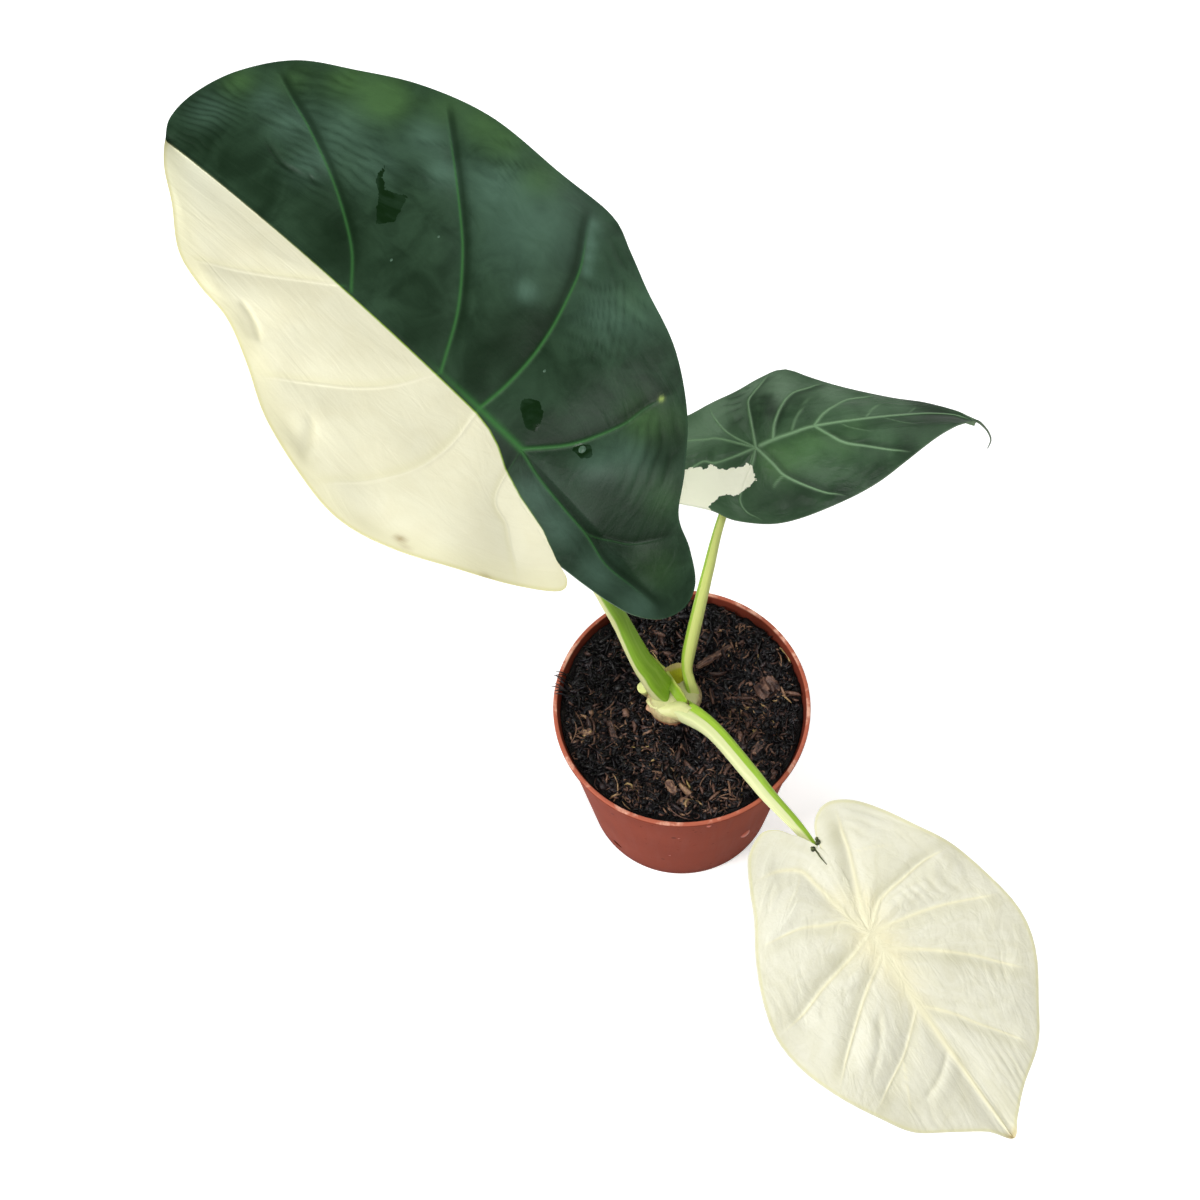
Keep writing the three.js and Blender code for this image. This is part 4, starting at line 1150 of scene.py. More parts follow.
skinBetween = {
    "inner": [(-6.4, 12.6, 107.6), (-3.4, 11.2, 106.6), (0, 11.2, 106.6), (2.6, 12.4, 108.4)],
    "margin": [(-7.6, 15.8, 112.6), (-3.8, 17.4, 113.8), (-0.4, 18.0, 114.4), (2.2, 17.0, 115.2)],
    "bulge": 0.8, "thick": 0.55,
    "body": tone(150, 152, 30), "rim": tone(176, 160, 100), "end": tone(150, 152, 40),
}


sheathGrid = (70, 16)  # steps along a sheath and across it


def makeSheath(name, sheath):
    # a ruled surface between the two lines, bulged by a sine across its width and thinned to the margin
    columns, rows = sheathGrid
    place = np.linspace(0, 1, columns)
    inner, margin = (resample(smoothLine(sheath[key], 90), place) for key in ("inner", "margin"))
    t = np.linspace(0, 1, rows)[None, :, None]
    middle = inner[:, None] * (1 - t) + margin[:, None] * t
    ripple = 0.18 * latticeNoise(place[:, None] * 22, t[..., 0] * 3, 1.0, 31) * t[..., 0]
    normal = np.cross(np.gradient(middle, axis=0), np.gradient(middle, axis=1))
    normal = normal / np.linalg.norm(normal, axis=-1, keepdims=True)
    middle = middle + (sheath["bulge"] * np.sin(math.pi * t) + ripple[..., None]) * normal
    half = normal * sheath["thick"] * (1 - 0.7 * t) / 2
    points = np.concatenate([(middle + half).reshape(-1, 3), (middle - half).reshape(-1, 3)])
    count = columns * rows
    index = np.arange(count).reshape(columns, rows)
    loop = np.concatenate([index[:, 0], index[-1, 1:], index[-2::-1, -1], index[0, -2:0:-1]])
    after = np.roll(loop, -1)
    faces = np.concatenate([gridFaces(columns, rows, False), gridFaces(columns, rows, False, count, True),
                            np.stack([after, loop, loop + count, after + count], -1)])
    values = {"across": np.broadcast_to(t[..., 0], (columns, rows)), "along": np.repeat(place, rows)}
    values = {key: np.concatenate([np.ravel(v), np.ravel(v)]) for key, v in values.items()}
    material, tree, surface = newMaterial(name + "Skin", 0.42, 0.12)
    across = readValue(tree, "across")
    mottle = noiseAt(tree, objectPlace(tree), 420.0, 3.0)
    rim = stepBetween(tree, scaled(tree, mottle, 0.3, across), 0.78, 1.05)
    colour = blendColour(tree, rim, sheath["body"], sheath["rim"])
    end = stepBetween(tree, scaled(tree, mottle, 0.1, readValue(tree, "along")), 0.97, 1.03)
    colour = blendColour(tree, end, colour, sheath["end"])
    cover(tree, surface, colour, scaled(tree, mottle, 0.2, 0.32), (mottle, 0.0004, 0.4))
    makePiece(name, points, faces, material, values=values, sharp=50)


makeSheath("largeStalkWing", largeWing)
makeSheath("skinBetweenStalks", skinBetween)


# Pot: thin moulded shell with a turned-out lip
potShape = {
    "height": 107, "rimRadius": 60, "baseRadius": 46, "wall": 0.9, "lipWidth": 2, "lipHeight": 3.2,
    "lipInner": 58.1, "floor": 1.8, "sides": 192,
    "baseHoles": 8, "baseHoleRadius": 3.2, "baseHoleCircle": 33,
    "sideHoles": 3, "sideHoleRadius": 2.9, "sideHoleHeight": 15, "sideHoleFirst": -136.5,
    "holeSides": 28, "holeReach": 6,
    "marks": [(-98.5, 76.5, 1.0), (-105, 30, 0.7), (-130, 83, 0.8), (-88, 87.5, 0.6)],  # turn, height, radius
    # the lip tone is a painted highlight on the lip's top and also tints faint streaks, the worn tone is pale
    # scuffs that are partly painted glints, and the inner tone is painted shade inside the pot
    "colour": tone(132, 61, 46), "lit": tone(140, 66, 50), "lip": tone(184, 102, 80),
    "scuffsAndGlints": tone(236, 182, 158), "inner": tone(104, 46, 34), "dirt": tone(58, 30, 24),
    "mark": tone(84, 38, 32),
}


def innerRadius(z):
    # the inside of the wall widens evenly from the floor to the lip
    share = (z - potShape["floor"]) / (potShape["height"] - potShape["lipHeight"] - potShape["floor"])
    low = potShape["baseRadius"] - potShape["wall"]
    high = potShape["rimRadius"] - potShape["lipWidth"] - potShape["wall"]
    return low + (high - low) * share


def wallPlace(turn, height):
    # a point on the outside of the pot's wall and the direction that the wall faces
    angle = math.radians(turn)
    radius = innerRadius(height) + potShape["wall"]
    out = np.array([math.cos(angle), math.sin(angle), -0.12])
    return np.array([radius * out[0], radius * out[1], height]), out / np.linalg.norm(out)


def makePot(shape, material):
    # the wall's profile, turned about the pot's axis, less the drain holes
    top = shape["height"]
    shoulder = shape["rimRadius"] - shape["lipWidth"]
    under = top - shape["lipHeight"]
    rim = shape["rimRadius"]
    base = shape["baseRadius"]
    lipInner = shape["lipInner"]
    wall = np.linspace(1.6, under - 0.3, 24)
    outside = base + (shoulder - base) * (wall - 1.2) / (under - 1.2)
    inside = wall[::-1] + 2.2
    inside = inside[inside < under - 0.5]
    lip = [(shoulder + 0.25, under), (rim - 0.35, under + 0.1), (rim - 0.06, under + 0.45),
           (rim, under + 0.9), (rim, top - 0.8), (rim - 0.1, top - 0.35), (rim - 0.35, top - 0.08),
           (rim - 0.8, top), (lipInner + 0.5, top), (lipInner + 0.15, top - 0.12), (lipInner, top - 0.5),
           (lipInner - 0.25, top - 1.6), (innerRadius(under) + 0.1, under + 0.3),
           (innerRadius(under), under - 0.2)]
    profile = [(0, 0), (base * 0.5, 0), (base - 1.6, 0), (base - 0.7, 0.15), (base - 0.15, 0.6)]
    profile += list(zip(outside, wall)) + lip + [(innerRadius(z), z) for z in inside]
    profile += [(innerRadius(shape["floor"]) - 0.4, shape["floor"] + 0.35),
                (innerRadius(shape["floor"]) - 1.2, shape["floor"]), (base * 0.5, shape["floor"]),
                (0, shape["floor"])]
    profile = np.array(profile)
    turn = np.linspace(0, 2 * math.pi, shape["sides"], endpoint=False)
    points = np.stack([profile[:, :1] * np.cos(turn), profile[:, :1] * np.sin(turn),
                       np.repeat(profile[:, 1:], len(turn), 1)], -1).reshape(-1, 3)
    faces = gridFaces(len(profile), len(turn), True)
    pot = makePiece("nurseryPot", points, faces, material, "pot")
    cutters = []
    for k in range(shape["baseHoles"]):
        angle = (k + 0.5) * 2 * math.pi / shape["baseHoles"]
        place = (shape["baseHoleCircle"] * math.cos(angle), shape["baseHoleCircle"] * math.sin(angle), 0)
        cutters.append((place, shape["baseHoleRadius"], Matrix.Identity(3)))
    for k in range(shape["sideHoles"]):
        angle = math.radians(shape["sideHoleFirst"] + k * 360 / shape["sideHoles"])
        radius = innerRadius(shape["sideHoleHeight"])
        place = (radius * math.cos(angle), radius * math.sin(angle), shape["sideHoleHeight"])
        lean = Matrix.Rotation(angle, 3, "Z") @ Matrix.Rotation(math.pi / 2, 3, "Y")
        cutters.append((place, shape["sideHoleRadius"], lean))
    cutHoles(pot, cutters, shape["holeSides"], shape["holeReach"])
    pot.data.shade_smooth()
    pot.data.set_sharp_from_angle(angle=math.radians(35))


def cutHoles(piece, cutters, sides, reach):
    # takes short rods out of the piece; each rod is a ring at minus the reach joined to one at plus the reach
    turn = np.linspace(0, 2 * math.pi, sides, endpoint=False)
    points, faces = [], []
    for place, radius, lean in cutters:
        ring = np.stack([np.cos(turn) * radius, np.sin(turn) * radius, np.zeros_like(turn)], -1)
        rings = np.concatenate([ring + (0, 0, z) for z in (-reach, reach)])
        first = len(points) * 2 * sides
        points.append((rings @ np.array(lean).T + np.array(place)) * millimetre)
        faces += [tuple(f) for f in gridFaces(2, sides, True, first)]
        faces.append(tuple(range(first + sides - 1, first - 1, -1)))
        faces.append(tuple(range(first + sides, first + 2 * sides)))
    mesh = bpy.data.meshes.new("holes")
    mesh.from_pydata(np.concatenate(points), [], faces)
    holes = bpy.data.objects.new("holes", mesh)
    bpy.context.scene.collection.objects.link(holes)
    cut = piece.modifiers.new("holes", "BOOLEAN")
    cut.operation = "DIFFERENCE"
    cut.solver = "EXACT"
    cut.object = holes
    graph = bpy.context.evaluated_depsgraph_get()
    carved = bpy.data.meshes.new_from_object(piece.evaluated_get(graph))
    piece.modifiers.clear()
    piece.data = carved
    bpy.data.objects.remove(holes)


def potMaterial(look):
    # a painted highlight on the lip's top and painted shade inside; pale scuffs on the lip that are partly
    # painted glints, faint lengthwise streaks, specks of dirt
    material, tree, surface = newMaterial("terracottaPlastic", 0.5, 0.01)
    place = objectPlace(tree)
    cloud = noiseAt(tree, place, 26.0, 4.0)
    streak = noiseAt(tree, stretched(tree, place, (1, 1, 0.06)), 210.0, 3.0)
    specks = noiseAt(tree, place, 420.0, 2.0, 0.5)
    parts = addNode(tree, "ShaderNodeSeparateXYZ", {0: place}).outputs
    up = parts["Z"]
    squares = [times(tree, parts[axis], parts[axis]) for axis in "XY"]
    reach = calc(tree, "SQRT", plus(tree, *squares))
    colour = blendColour(tree, stepBetween(tree, cloud, 0.35, 0.7), look["colour"], look["lit"])
    colour = blendColour(tree, stepBetween(tree, streak, 0.5, 0.8), colour, look["lip"], 0.10)
    dirt = times(tree, stepBetween(tree, specks, 0.68, 0.78), 0.5)
    colour = blendColour(tree, dirt, colour, look["dirt"])
    # darker towards the foot of the pot
    foot = times(tree, stepBetween(tree, up, 0.012, 0.0), 0.3)
    colour = blendColour(tree, foot, colour, look["dirt"])
    for turn, level, radius in look["marks"]:
        centre = wallPlace(turn, level)[0] * millimetre
        away = addNode(tree, "ShaderNodeVectorMath", {0: place, 1: centre}, operation="DISTANCE")
        away = scaled(tree, specks, 0.0012, away.outputs["Value"])
        mark = stepBetween(tree, away, (radius + 1.0) * millimetre, (radius + 0.3) * millimetre)
        colour = blendColour(tree, mark, colour, look["mark"], 0.8)
    # the lip's top in the lighter lip tone: a painted highlight
    lipTopHighlight = stepBetween(tree, up, 0.1062, 0.1066)
    colour = blendColour(tree, lipTopHighlight, colour, look["lip"])
    # pale scuffs on the lip's top, partly real scuffs and partly painted glints
    scuffs = noiseAt(tree, place, 95.0, 4.0, 0.65)
    upper = stepBetween(tree, up, 0.1055, 0.1069)
    scuffsAndGlints = times(tree, times(tree, upper, stepBetween(tree, scuffs, 0.5, 0.66)), 0.9)
    colour = blendColour(tree, scuffsAndGlints, colour, look["scuffsAndGlints"])
    # the inside of the wall is darker: painted shade
    middle = scaled(tree, up, 0.1177, 0.0455)  # radius of the wall's middle at this height
    side = calc(tree, "SUBTRACT", reach, middle)
    inside = stepBetween(tree, side, 0.0002, -0.0001)
    colour = blendColour(tree, inside, colour, look["inner"])
    rough = plus(tree, scaled(tree, streak, 0.2, 0.38), times(tree, dirt, 0.3))
    height = plus(tree, streak, times(tree, specks, 0.35))
    cover(tree, surface, colour, rough, (height, 0.0003, 0.3))
    return material


makePot(potShape, potMaterial(potShape))


# Soil: a closed body under a rough top, heaped against the pot's wall
soilShape = {
    "level": 96, "hollow": (2.7, -17), "hollowDepth": 5, "gap": 0.3,
    "dark": tone(7, 6, 6), "brown": tone(28, 21, 19), "grey": tone(26, 23, 24),
    "bank": 6.8, "bankStart": 28, "bankEnd": 56,
    "turns": 360, "rings": 120, "floor": 2.1,
    "wall": [(78, 0.3), (40, 0.3), (4, 0.3), (2.1, 1.6)],  # height, and how far in from the pot's wall
}


def soilHeight(x, y):
    # a slope, a round hollow in front of the corm, two sets of long lumps and a bank that levels the rim
    away = (x - soilShape["hollow"][0]) ** 2 + (y - soilShape["hollow"][1]) ** 2
    hollow = -soilShape["hollowDepth"] * np.exp(-away / 90)
    lumps = 0.8 * np.sin(0.31 * x + 1.3) * np.cos(0.27 * y) + 0.6 * np.sin(0.53 * x - 0.41 * y + 0.7)
    bank = smoothstep(soilShape["bankStart"], soilShape["bankEnd"], np.hypot(x, y))
    bank = bank * (soilShape["bank"] - 0.085 * x + 0.03 * y)
    return soilShape["level"] + 0.079 * x - 0.034 * y + hollow + lumps + bank


def roughSoil(x, y):
    # the soil's height with clods and crumbs from four lattice noises
    clods = 1.5 * latticeNoise(x, y, 5.3, 11) + 1.1 * latticeNoise(x, y, 2.6, 12)
    clods = clods + 0.6 * latticeNoise(x, y, 1.3, 13) + 0.3 * latticeNoise(x, y, 0.7, 14)
    edge = 1 - 0.5 * smoothstep(48, 56, np.hypot(x, y))
    return soilHeight(x, y) + clods * edge - 0.8


def makeSoil(material):
    # rings of the rough top, from the middle out to the pot's wall, then down it and in under the body
    turn = np.linspace(0, 2 * math.pi, soilShape["turns"], endpoint=False)
    radii = np.linspace(0, innerRadius(soilShape["level"]) - soilShape["gap"], soilShape["rings"])
    x = radii[:, None] * np.cos(turn)
    y = radii[:, None] * np.sin(turn)
    z = roughSoil(x, y)
    fit = (innerRadius(z[-1]) - soilShape["gap"]) / radii[-1]
    x[-1] *= fit
    y[-1] *= fit
    below = [(innerRadius(low) - inset, low) for low, inset in soilShape["wall"]] + [(0, soilShape["floor"])]
    x = np.vstack([x] + [radius * np.cos(turn) for radius, _ in below])
    y = np.vstack([y] + [radius * np.sin(turn) for radius, _ in below])
    z = np.vstack([z] + [np.full_like(turn, low) for _, low in below])
    points = np.stack([x, y, z], -1).reshape(-1, 3)
    makePiece("peatSoil", points, gridFaces(len(x), len(turn), True), material, "soil")


def soilMaterial(look):
    # near black, browner where broad noise is high, with grey grains from fine noise
    material, tree, surface = newMaterial("moistPeat", 0.8, 0.25)
    place = objectPlace(tree)
    clods = noiseAt(tree, place, 230.0, 5.0, 0.65)
    fine = noiseAt(tree, place, 1400.0, 3.0, 0.6)
    colour = blendColour(tree, stepBetween(tree, clods, 0.45, 0.75), look["dark"], look["brown"])
    colour = blendColour(tree, stepBetween(tree, fine, 0.6, 0.8), colour, look["grey"], 0.5)
    height = plus(tree, clods, times(tree, fine, 0.4))
    cover(tree, surface, colour, scaled(tree, fine, -0.5, 0.85), (height, 0.0020, 1.0))
    return material


def bitMaterial():
    # each crumb and fibre has a shade of its own, from near black over brown to straw
    material, tree, surface = newMaterial("peatBits", 0.7, 0.35)
    grain = noiseAt(tree, objectPlace(tree), 900.0, 3.0, 0.6)
    mixed = scaled(tree, calc(tree, "SUBTRACT", grain, 0.5), 0.3, readValue(tree, "shade"))
    colour = colourSteps(tree, mixed, [
        (0.0, tone(6, 5, 6)), (0.3, tone(15, 12, 13)), (0.42, tone(34, 32, 37)), (0.54, tone(62, 44, 39)),
        (0.7, tone(108, 79, 67)), (0.84, tone(150, 116, 92)), (1.0, tone(206, 180, 110))])
    cover(tree, surface, colour, scaled(tree, grain, 0.4, 0.22), (grain, 0.0006, 0.8))
    return material


makeSoil(soilMaterial(soilShape))
peatBits = bitMaterial()

# Crumbs, thick short strands and long thin fibres. Shades are drawn from a few, each with its share.
bitReach = 54  # their centres lie within this radius
fibreReach = 56.2  # and no part of a fibre goes beyond this one
fibreSides = 3
crumbLook = {"name": "peatCrumbs", "count": 2300, "seed": 21, "small": 0.5, "large": 2.3,
             "shades": [(0.2, 0.5), (0.34, 0.35), (0.5, 0.12), (0.66, 0.03)]}
strandLook = {"name": "peatStrands", "count": 6500, "seed": 33, "steps": 4, "short": 2, "long": 7,
              "thin": 0.25, "thick": 0.75, "curl": 0.9, "tilt": 0.45, "rise": 0.5, "lift": (-0.7, 1.0),
              "shades": [(0.18, 0.46), (0.34, 0.22), (0.44, 0.12), (0.58, 0.12), (0.74, 0.08)]}
curlLook = {"name": "peatCurls", "count": 600, "seed": 34, "steps": 7, "short": 5, "long": 11, "thin": 0.2,
            "thick": 0.5, "curl": 1.0, "tilt": 0.15, "rise": 0.8, "lift": (-0.6, 0.8),
            "shades": [(0.22, 0.45), (0.4, 0.25), (0.55, 0.2), (0.68, 0.08), (0.84, 0.02)]}
flakeLook = {"name": "peatFlakes", "count": 300, "seed": 36, "steps": 5, "short": 4, "long": 11, "thin": 0.7,
             "thick": 1.3, "curl": 0.6, "tilt": 0.3, "rise": 0.4, "lift": (-0.6, 0.9),
             "shades": [(0.24, 0.3), (0.42, 0.2), (0.56, 0.3), (0.68, 0.2)]}
fibreLook = {"name": "peatFibres", "count": 120, "seed": 35, "steps": 9, "short": 7, "long": 18, "thin": 0.12,
             "thick": 0.24, "curl": 1.0, "tilt": 0.12, "rise": 1.0, "lift": (-0.2, 1.0),
             "shades": [(0.45, 0.3), (0.6, 0.35), (0.75, 0.25), (0.88, 0.1)]}


def scatter(dice, count, reach):
    # even over a disc: the radius goes as the root of a random share
    radius = reach * np.sqrt(dice.uniform(0, 1, count))
    angle = dice.uniform(0, 2 * math.pi, count)
    return radius * np.cos(angle), radius * np.sin(angle)


def drawShades(dice, shades, x, y):
    # a random shade from the list, lighter and darker in patches over the soil
    values, shares = zip(*shades)
    drawn = dice.choice(values, len(x), p=np.array(shares) / sum(shares)) + dice.normal(0, 0.04, len(x))
    return drawn + 0.17 * latticeNoise(x, y, 13.0, 15) * (drawn > 0.25)


def makeCrumbs(look):
    # each crumb is a squashed, turned icosahedron with uneven corners, half sunk in the soil
    dice = np.random.default_rng(look["seed"])
    count = look["count"]
    golden = (1 + math.sqrt(5)) / 2
    corners = np.array([(-1, golden, 0), (1, golden, 0), (-1, -golden, 0), (1, -golden, 0),
                        (0, -1, golden), (0, 1, golden), (0, -1, -golden), (0, 1, -golden),
                        (golden, 0, -1), (golden, 0, 1), (-golden, 0, -1), (-golden, 0, 1)]) / 1.9
    facets = np.array([(0, 11, 5), (0, 5, 1), (0, 1, 7), (0, 7, 10), (0, 10, 11), (1, 5, 9), (5, 11, 4),
                       (11, 10, 2), (10, 7, 6), (7, 1, 8), (3, 9, 4), (3, 4, 2), (3, 2, 6), (3, 6, 8),
                       (3, 8, 9), (4, 9, 5), (2, 4, 11), (6, 2, 10), (8, 6, 7), (9, 8, 1)])
    x, y = scatter(dice, count, bitReach)
    size = look["small"] + (look["large"] - look["small"]) * dice.uniform(0, 1, count) ** 3
    turn = np.linalg.qr(dice.normal(size=(count, 3, 3)))[0]
    shape = corners[None] * dice.uniform(0.7, 1.25, (count, 12, 1))
    shape = shape * (size[:, None] * dice.uniform(0.5, 1.4, (count, 3)))[:, None]
    shape = np.einsum("nij,nkj->nki", turn, shape)
    centre = np.stack([x, y, roughSoil(x, y) + 0.25 * size], -1)
    points = (shape + centre[:, None]).reshape(-1, 3)
    faces = (facets[None] + 12 * np.arange(count)[:, None, None]).reshape(-1, 3)
    shade = np.repeat(drawShades(dice, look["shades"], x, y), 12)
    makePiece(look["name"], points, faces, peatBits, values={"shade": shade})


def fibreTubes(middle, width):
    # three-sided tubes along many lines at once; middle is fibres by steps by 3, and the width shrinks to
    # both ends as a power of the sine
    steps = middle.shape[1]
    tangent = np.gradient(middle, axis=1)
    tangent = tangent / np.linalg.norm(tangent, axis=-1, keepdims=True)
    upper = np.array([0, 0, 1.0]) - tangent * tangent[..., 2:]
    upper = upper / np.maximum(np.linalg.norm(upper, axis=-1, keepdims=True), 1e-6)
    across = np.cross(tangent, upper)
    taper = np.sin(np.linspace(0.2, math.pi - 0.2, steps)) ** 0.6
    turn = np.arange(fibreSides) * 2 * math.pi / fibreSides
    reach = width[:, None, None, None] * taper[None, :, None, None]
    ring = np.cos(turn)[:, None] * upper[:, :, None] + 1.5 * np.sin(turn)[:, None] * across[:, :, None]
    points = middle[:, :, None] + reach * ring
    ends = np.array([(2, 1, 0), (0, 1, 2)]) + np.array([[0], [(steps - 1) * fibreSides]])
    first = (steps * fibreSides) * np.arange(len(middle))[:, None, None]
    faces = (gridFaces(steps, fibreSides, True)[None] + first).reshape(-1, 4)
    caps = (ends[None] + first).reshape(-1, 3)
    return points.reshape(-1, 3), [tuple(f) for f in faces] + [tuple(f) for f in caps]


def makeFibres(look):
    # each fibre is a flat arc in a random direction that bends down into the soil at both ends
    dice = np.random.default_rng(look["seed"])
    count = look["count"]
    x, y = scatter(dice, count, bitReach)
    length = look["short"] + (look["long"] - look["short"]) * dice.uniform(0, 1, count) ** 2
    heading = dice.uniform(0, 2 * math.pi, count)
    curl = dice.normal(0, look["curl"], count)
    t = np.linspace(-0.5, 0.5, look["steps"])[None]
    bend = heading[:, None] + curl[:, None] * t * 1.6
    step = length[:, None] / (look["steps"] - 1)
    lineX = x[:, None] + np.cumsum(np.cos(bend) * step, 1) - length[:, None] / 2 * np.cos(heading)[:, None]
    lineY = y[:, None] + np.cumsum(np.sin(bend) * step, 1) - length[:, None] / 2 * np.sin(heading)[:, None]
    reach = np.hypot(lineX, lineY)
    inside = np.minimum(1, fibreReach / reach)
    lineX, lineY = lineX * inside, lineY * inside
    arch = dice.uniform(0.3, 1.6, count)[:, None] * (1 - (2 * t) ** 2) * look["rise"]
    tilt = dice.normal(0, look["tilt"], count)[:, None] * t * length[:, None]
    lift = dice.uniform(*look["lift"], count)[:, None]
    lineZ = np.minimum(roughSoil(x, y)[:, None], soilHeight(lineX, lineY) + 1.2) + arch + tilt + lift + 0.5
    middle = np.stack([lineX, lineY, lineZ], -1)
    width = dice.uniform(look["thin"], look["thick"], count) * (0.6 + length / 20)
    points, faces = fibreTubes(middle, width)
    shade = np.repeat(drawShades(dice, look["shades"], x, y), look["steps"] * fibreSides)
    makePiece(look["name"], points, faces, peatBits, values={"shade": shade})


makeCrumbs(crumbLook)
for look in (strandLook, curlLook, flakeLook, fibreLook):
    makeFibres(look)

# A tuft of roots that hangs over the rim at the left
tuftLook = {"count": 9, "seed": 5, "turns": (161, 168), "spread": 1.6, "foot": 52, "top": 107.9,
            "reach": 61.6, "steps": 9}


def makeTuft(look):
    # each root climbs from the soil over the rim and droops a little beyond it
    dice = np.random.default_rng(look["seed"])
    turn = dice.choice(look["turns"], look["count"]) + dice.normal(0, look["spread"], look["count"])
    turn = np.radians(turn)[:, None]
    t = np.linspace(0, 1, look["steps"])[None]
    swing = turn + dice.normal(0, 0.06, (look["count"], 1)) * t
    length = look["foot"] + (look["reach"] - look["foot"]) * t * dice.uniform(0.8, 1.05, (look["count"], 1))
    low = soilHeight(length[:, :1] * np.cos(turn), length[:, :1] * np.sin(turn))
    lift = low + (look["top"] + dice.uniform(0, 0.9, (look["count"], 1)) - low) * np.sin(math.pi * 0.73 * t)
    middle = np.stack([length * np.cos(swing), length * np.sin(swing), lift], -1)
    points, faces = fibreTubes(middle, dice.uniform(0.18, 0.34, look["count"]))
    shade = np.repeat(dice.uniform(0.15, 0.5, look["count"]), look["steps"] * fibreSides)
    makePiece("rimTuft", points, faces, peatBits, values={"shade": shade})


makeTuft(tuftLook)

# Bark chips and twigs: centre on the soil, size, turn about +Z, tilt, shade of the bark
chips = [
    {"name": "barkLump", "at": (41, 7), "size": (12, 9.5, 6.5), "turn": 25, "tilt": 12, "shade": 0.6,
     "facets": (14, 13), "rough": 2.2},
    {"name": "twig", "at": (18, 27), "size": (21, 3.2, 3), "turn": 27, "tilt": 4, "shade": 0.68,
     "lift": 1.4},
    {"name": "brownChip", "at": (-33, -7), "size": (13, 3.5, 3.5), "turn": 104, "tilt": 8, "shade": 0.62},
    {"name": "frontChip", "at": (-8, -38), "size": (8, 4, 3.5), "turn": 110, "tilt": -6, "shade": 0.72},
    {"name": "backTwig", "at": (-24, 34), "size": (11, 3, 3), "turn": -20, "tilt": 9, "shade": 0.66},
    {"name": "rightChip", "at": (34, -22), "size": (9, 4, 3), "turn": 50, "tilt": 5, "shade": 0.62},
    {"name": "orangeCrumb", "at": (-45, -8), "size": (5, 3.4, 2.6), "turn": 20, "tilt": 5, "shade": 0.8},
    {"name": "strawBit", "at": (50, 23), "size": (13, 0.9, 0.9), "turn": -66, "tilt": 4, "shade": 0.9,
     "bow": 2.2},
]


def makeChip(chip, seed):
    # a long rounded block: the ring radius goes as a root of the distance from the ends, with
    # lengthwise cracks from lattice noise
    rings, sides = chip.get("facets", (40, 36))
    along = np.linspace(-1, 1, rings)[:, None]
    turn = np.linspace(0, 2 * math.pi, sides, endpoint=False)[None]
    square = (np.abs(np.cos(turn)) ** 5 + np.abs(np.sin(turn)) ** 5) ** (-1 / 5)
    body = np.clip(1 - np.abs(along) ** 5, 0, 1) ** 0.4 * square * (1 - 0.12 * along)
    cracks = latticeNoise(along * 2.5 + 3, turn * 3.2, 1.0, seed) * 0.2
    cracks = cracks + latticeNoise(along * 9, turn * 5, 1.0, seed + 1) * 0.12
    body = body * (1 + cracks * chip.get("rough", 1))
    length = np.broadcast_to(along, body.shape)
    local = np.stack([length, body * np.cos(turn), body * np.sin(turn)], -1)
    local = local * np.array(chip["size"]) * (0.5, 0.45, 0.45)
    local[..., 1] += chip.get("bow", 0) * (1 - along**2)
    lean = Matrix.Rotation(math.radians(chip["turn"]), 3, "Z")
    lean = lean @ Matrix.Rotation(-math.radians(chip["tilt"]), 3, "Y")
    x, y = chip["at"]
    height = float(soilHeight(np.array(float(x)), np.array(float(y))))
    height = height + chip["size"][2] * 0.15 + 0.6 + chip.get("lift", 0)
    points = local.reshape(-1, 3) @ np.array(lean).T + np.array([x, y, height])
    shade = np.full(len(points), chip["shade"]) + 0.12 * cracks.ravel() / 0.16
    makePiece(chip["name"], points, gridFaces(rings, sides, True), peatBits,
              values={"shade": shade}, sharp=15 if "facets" in chip else 40)


for number, chip in enumerate(chips):
    makeChip(chip, 50 + 3 * number)


# Corm: squat ringed stem base, with the cut end of an old stalk
cormShape = {
    "profile": [(0, 74), (7, 74), (8.8, 76), (10.5, 82), (11.3, 90), (11.7, 94), (11.6, 95.6), (11.2, 96.2),
                (12, 97.6), (12.5, 99), (12.3, 100.2), (12.7, 101.4), (12.3, 102.8), (11.2, 104.2),
                (9.2, 105.4), (6.4, 106.3), (3.4, 106.8), (0, 107)],
    "centre": (-3, 6), "rings": 110, "sides": 96,
    "stubFoot": (-14.6, 12.8, 97), "stubTop": (-17.4, 10.6, 106), "stubRadius": 2.9, "stubSides": 40,
    "olive": tone(164, 148, 104), "tan": tone(192, 170, 124), "foot": tone(140, 78, 54),
    "ring": tone(112, 92, 64), "knob": tone(206, 150, 120), "crown": tone(196, 196, 134),
    "stub": tone(234, 238, 156), "stubSide": tone(176, 164, 112),
}


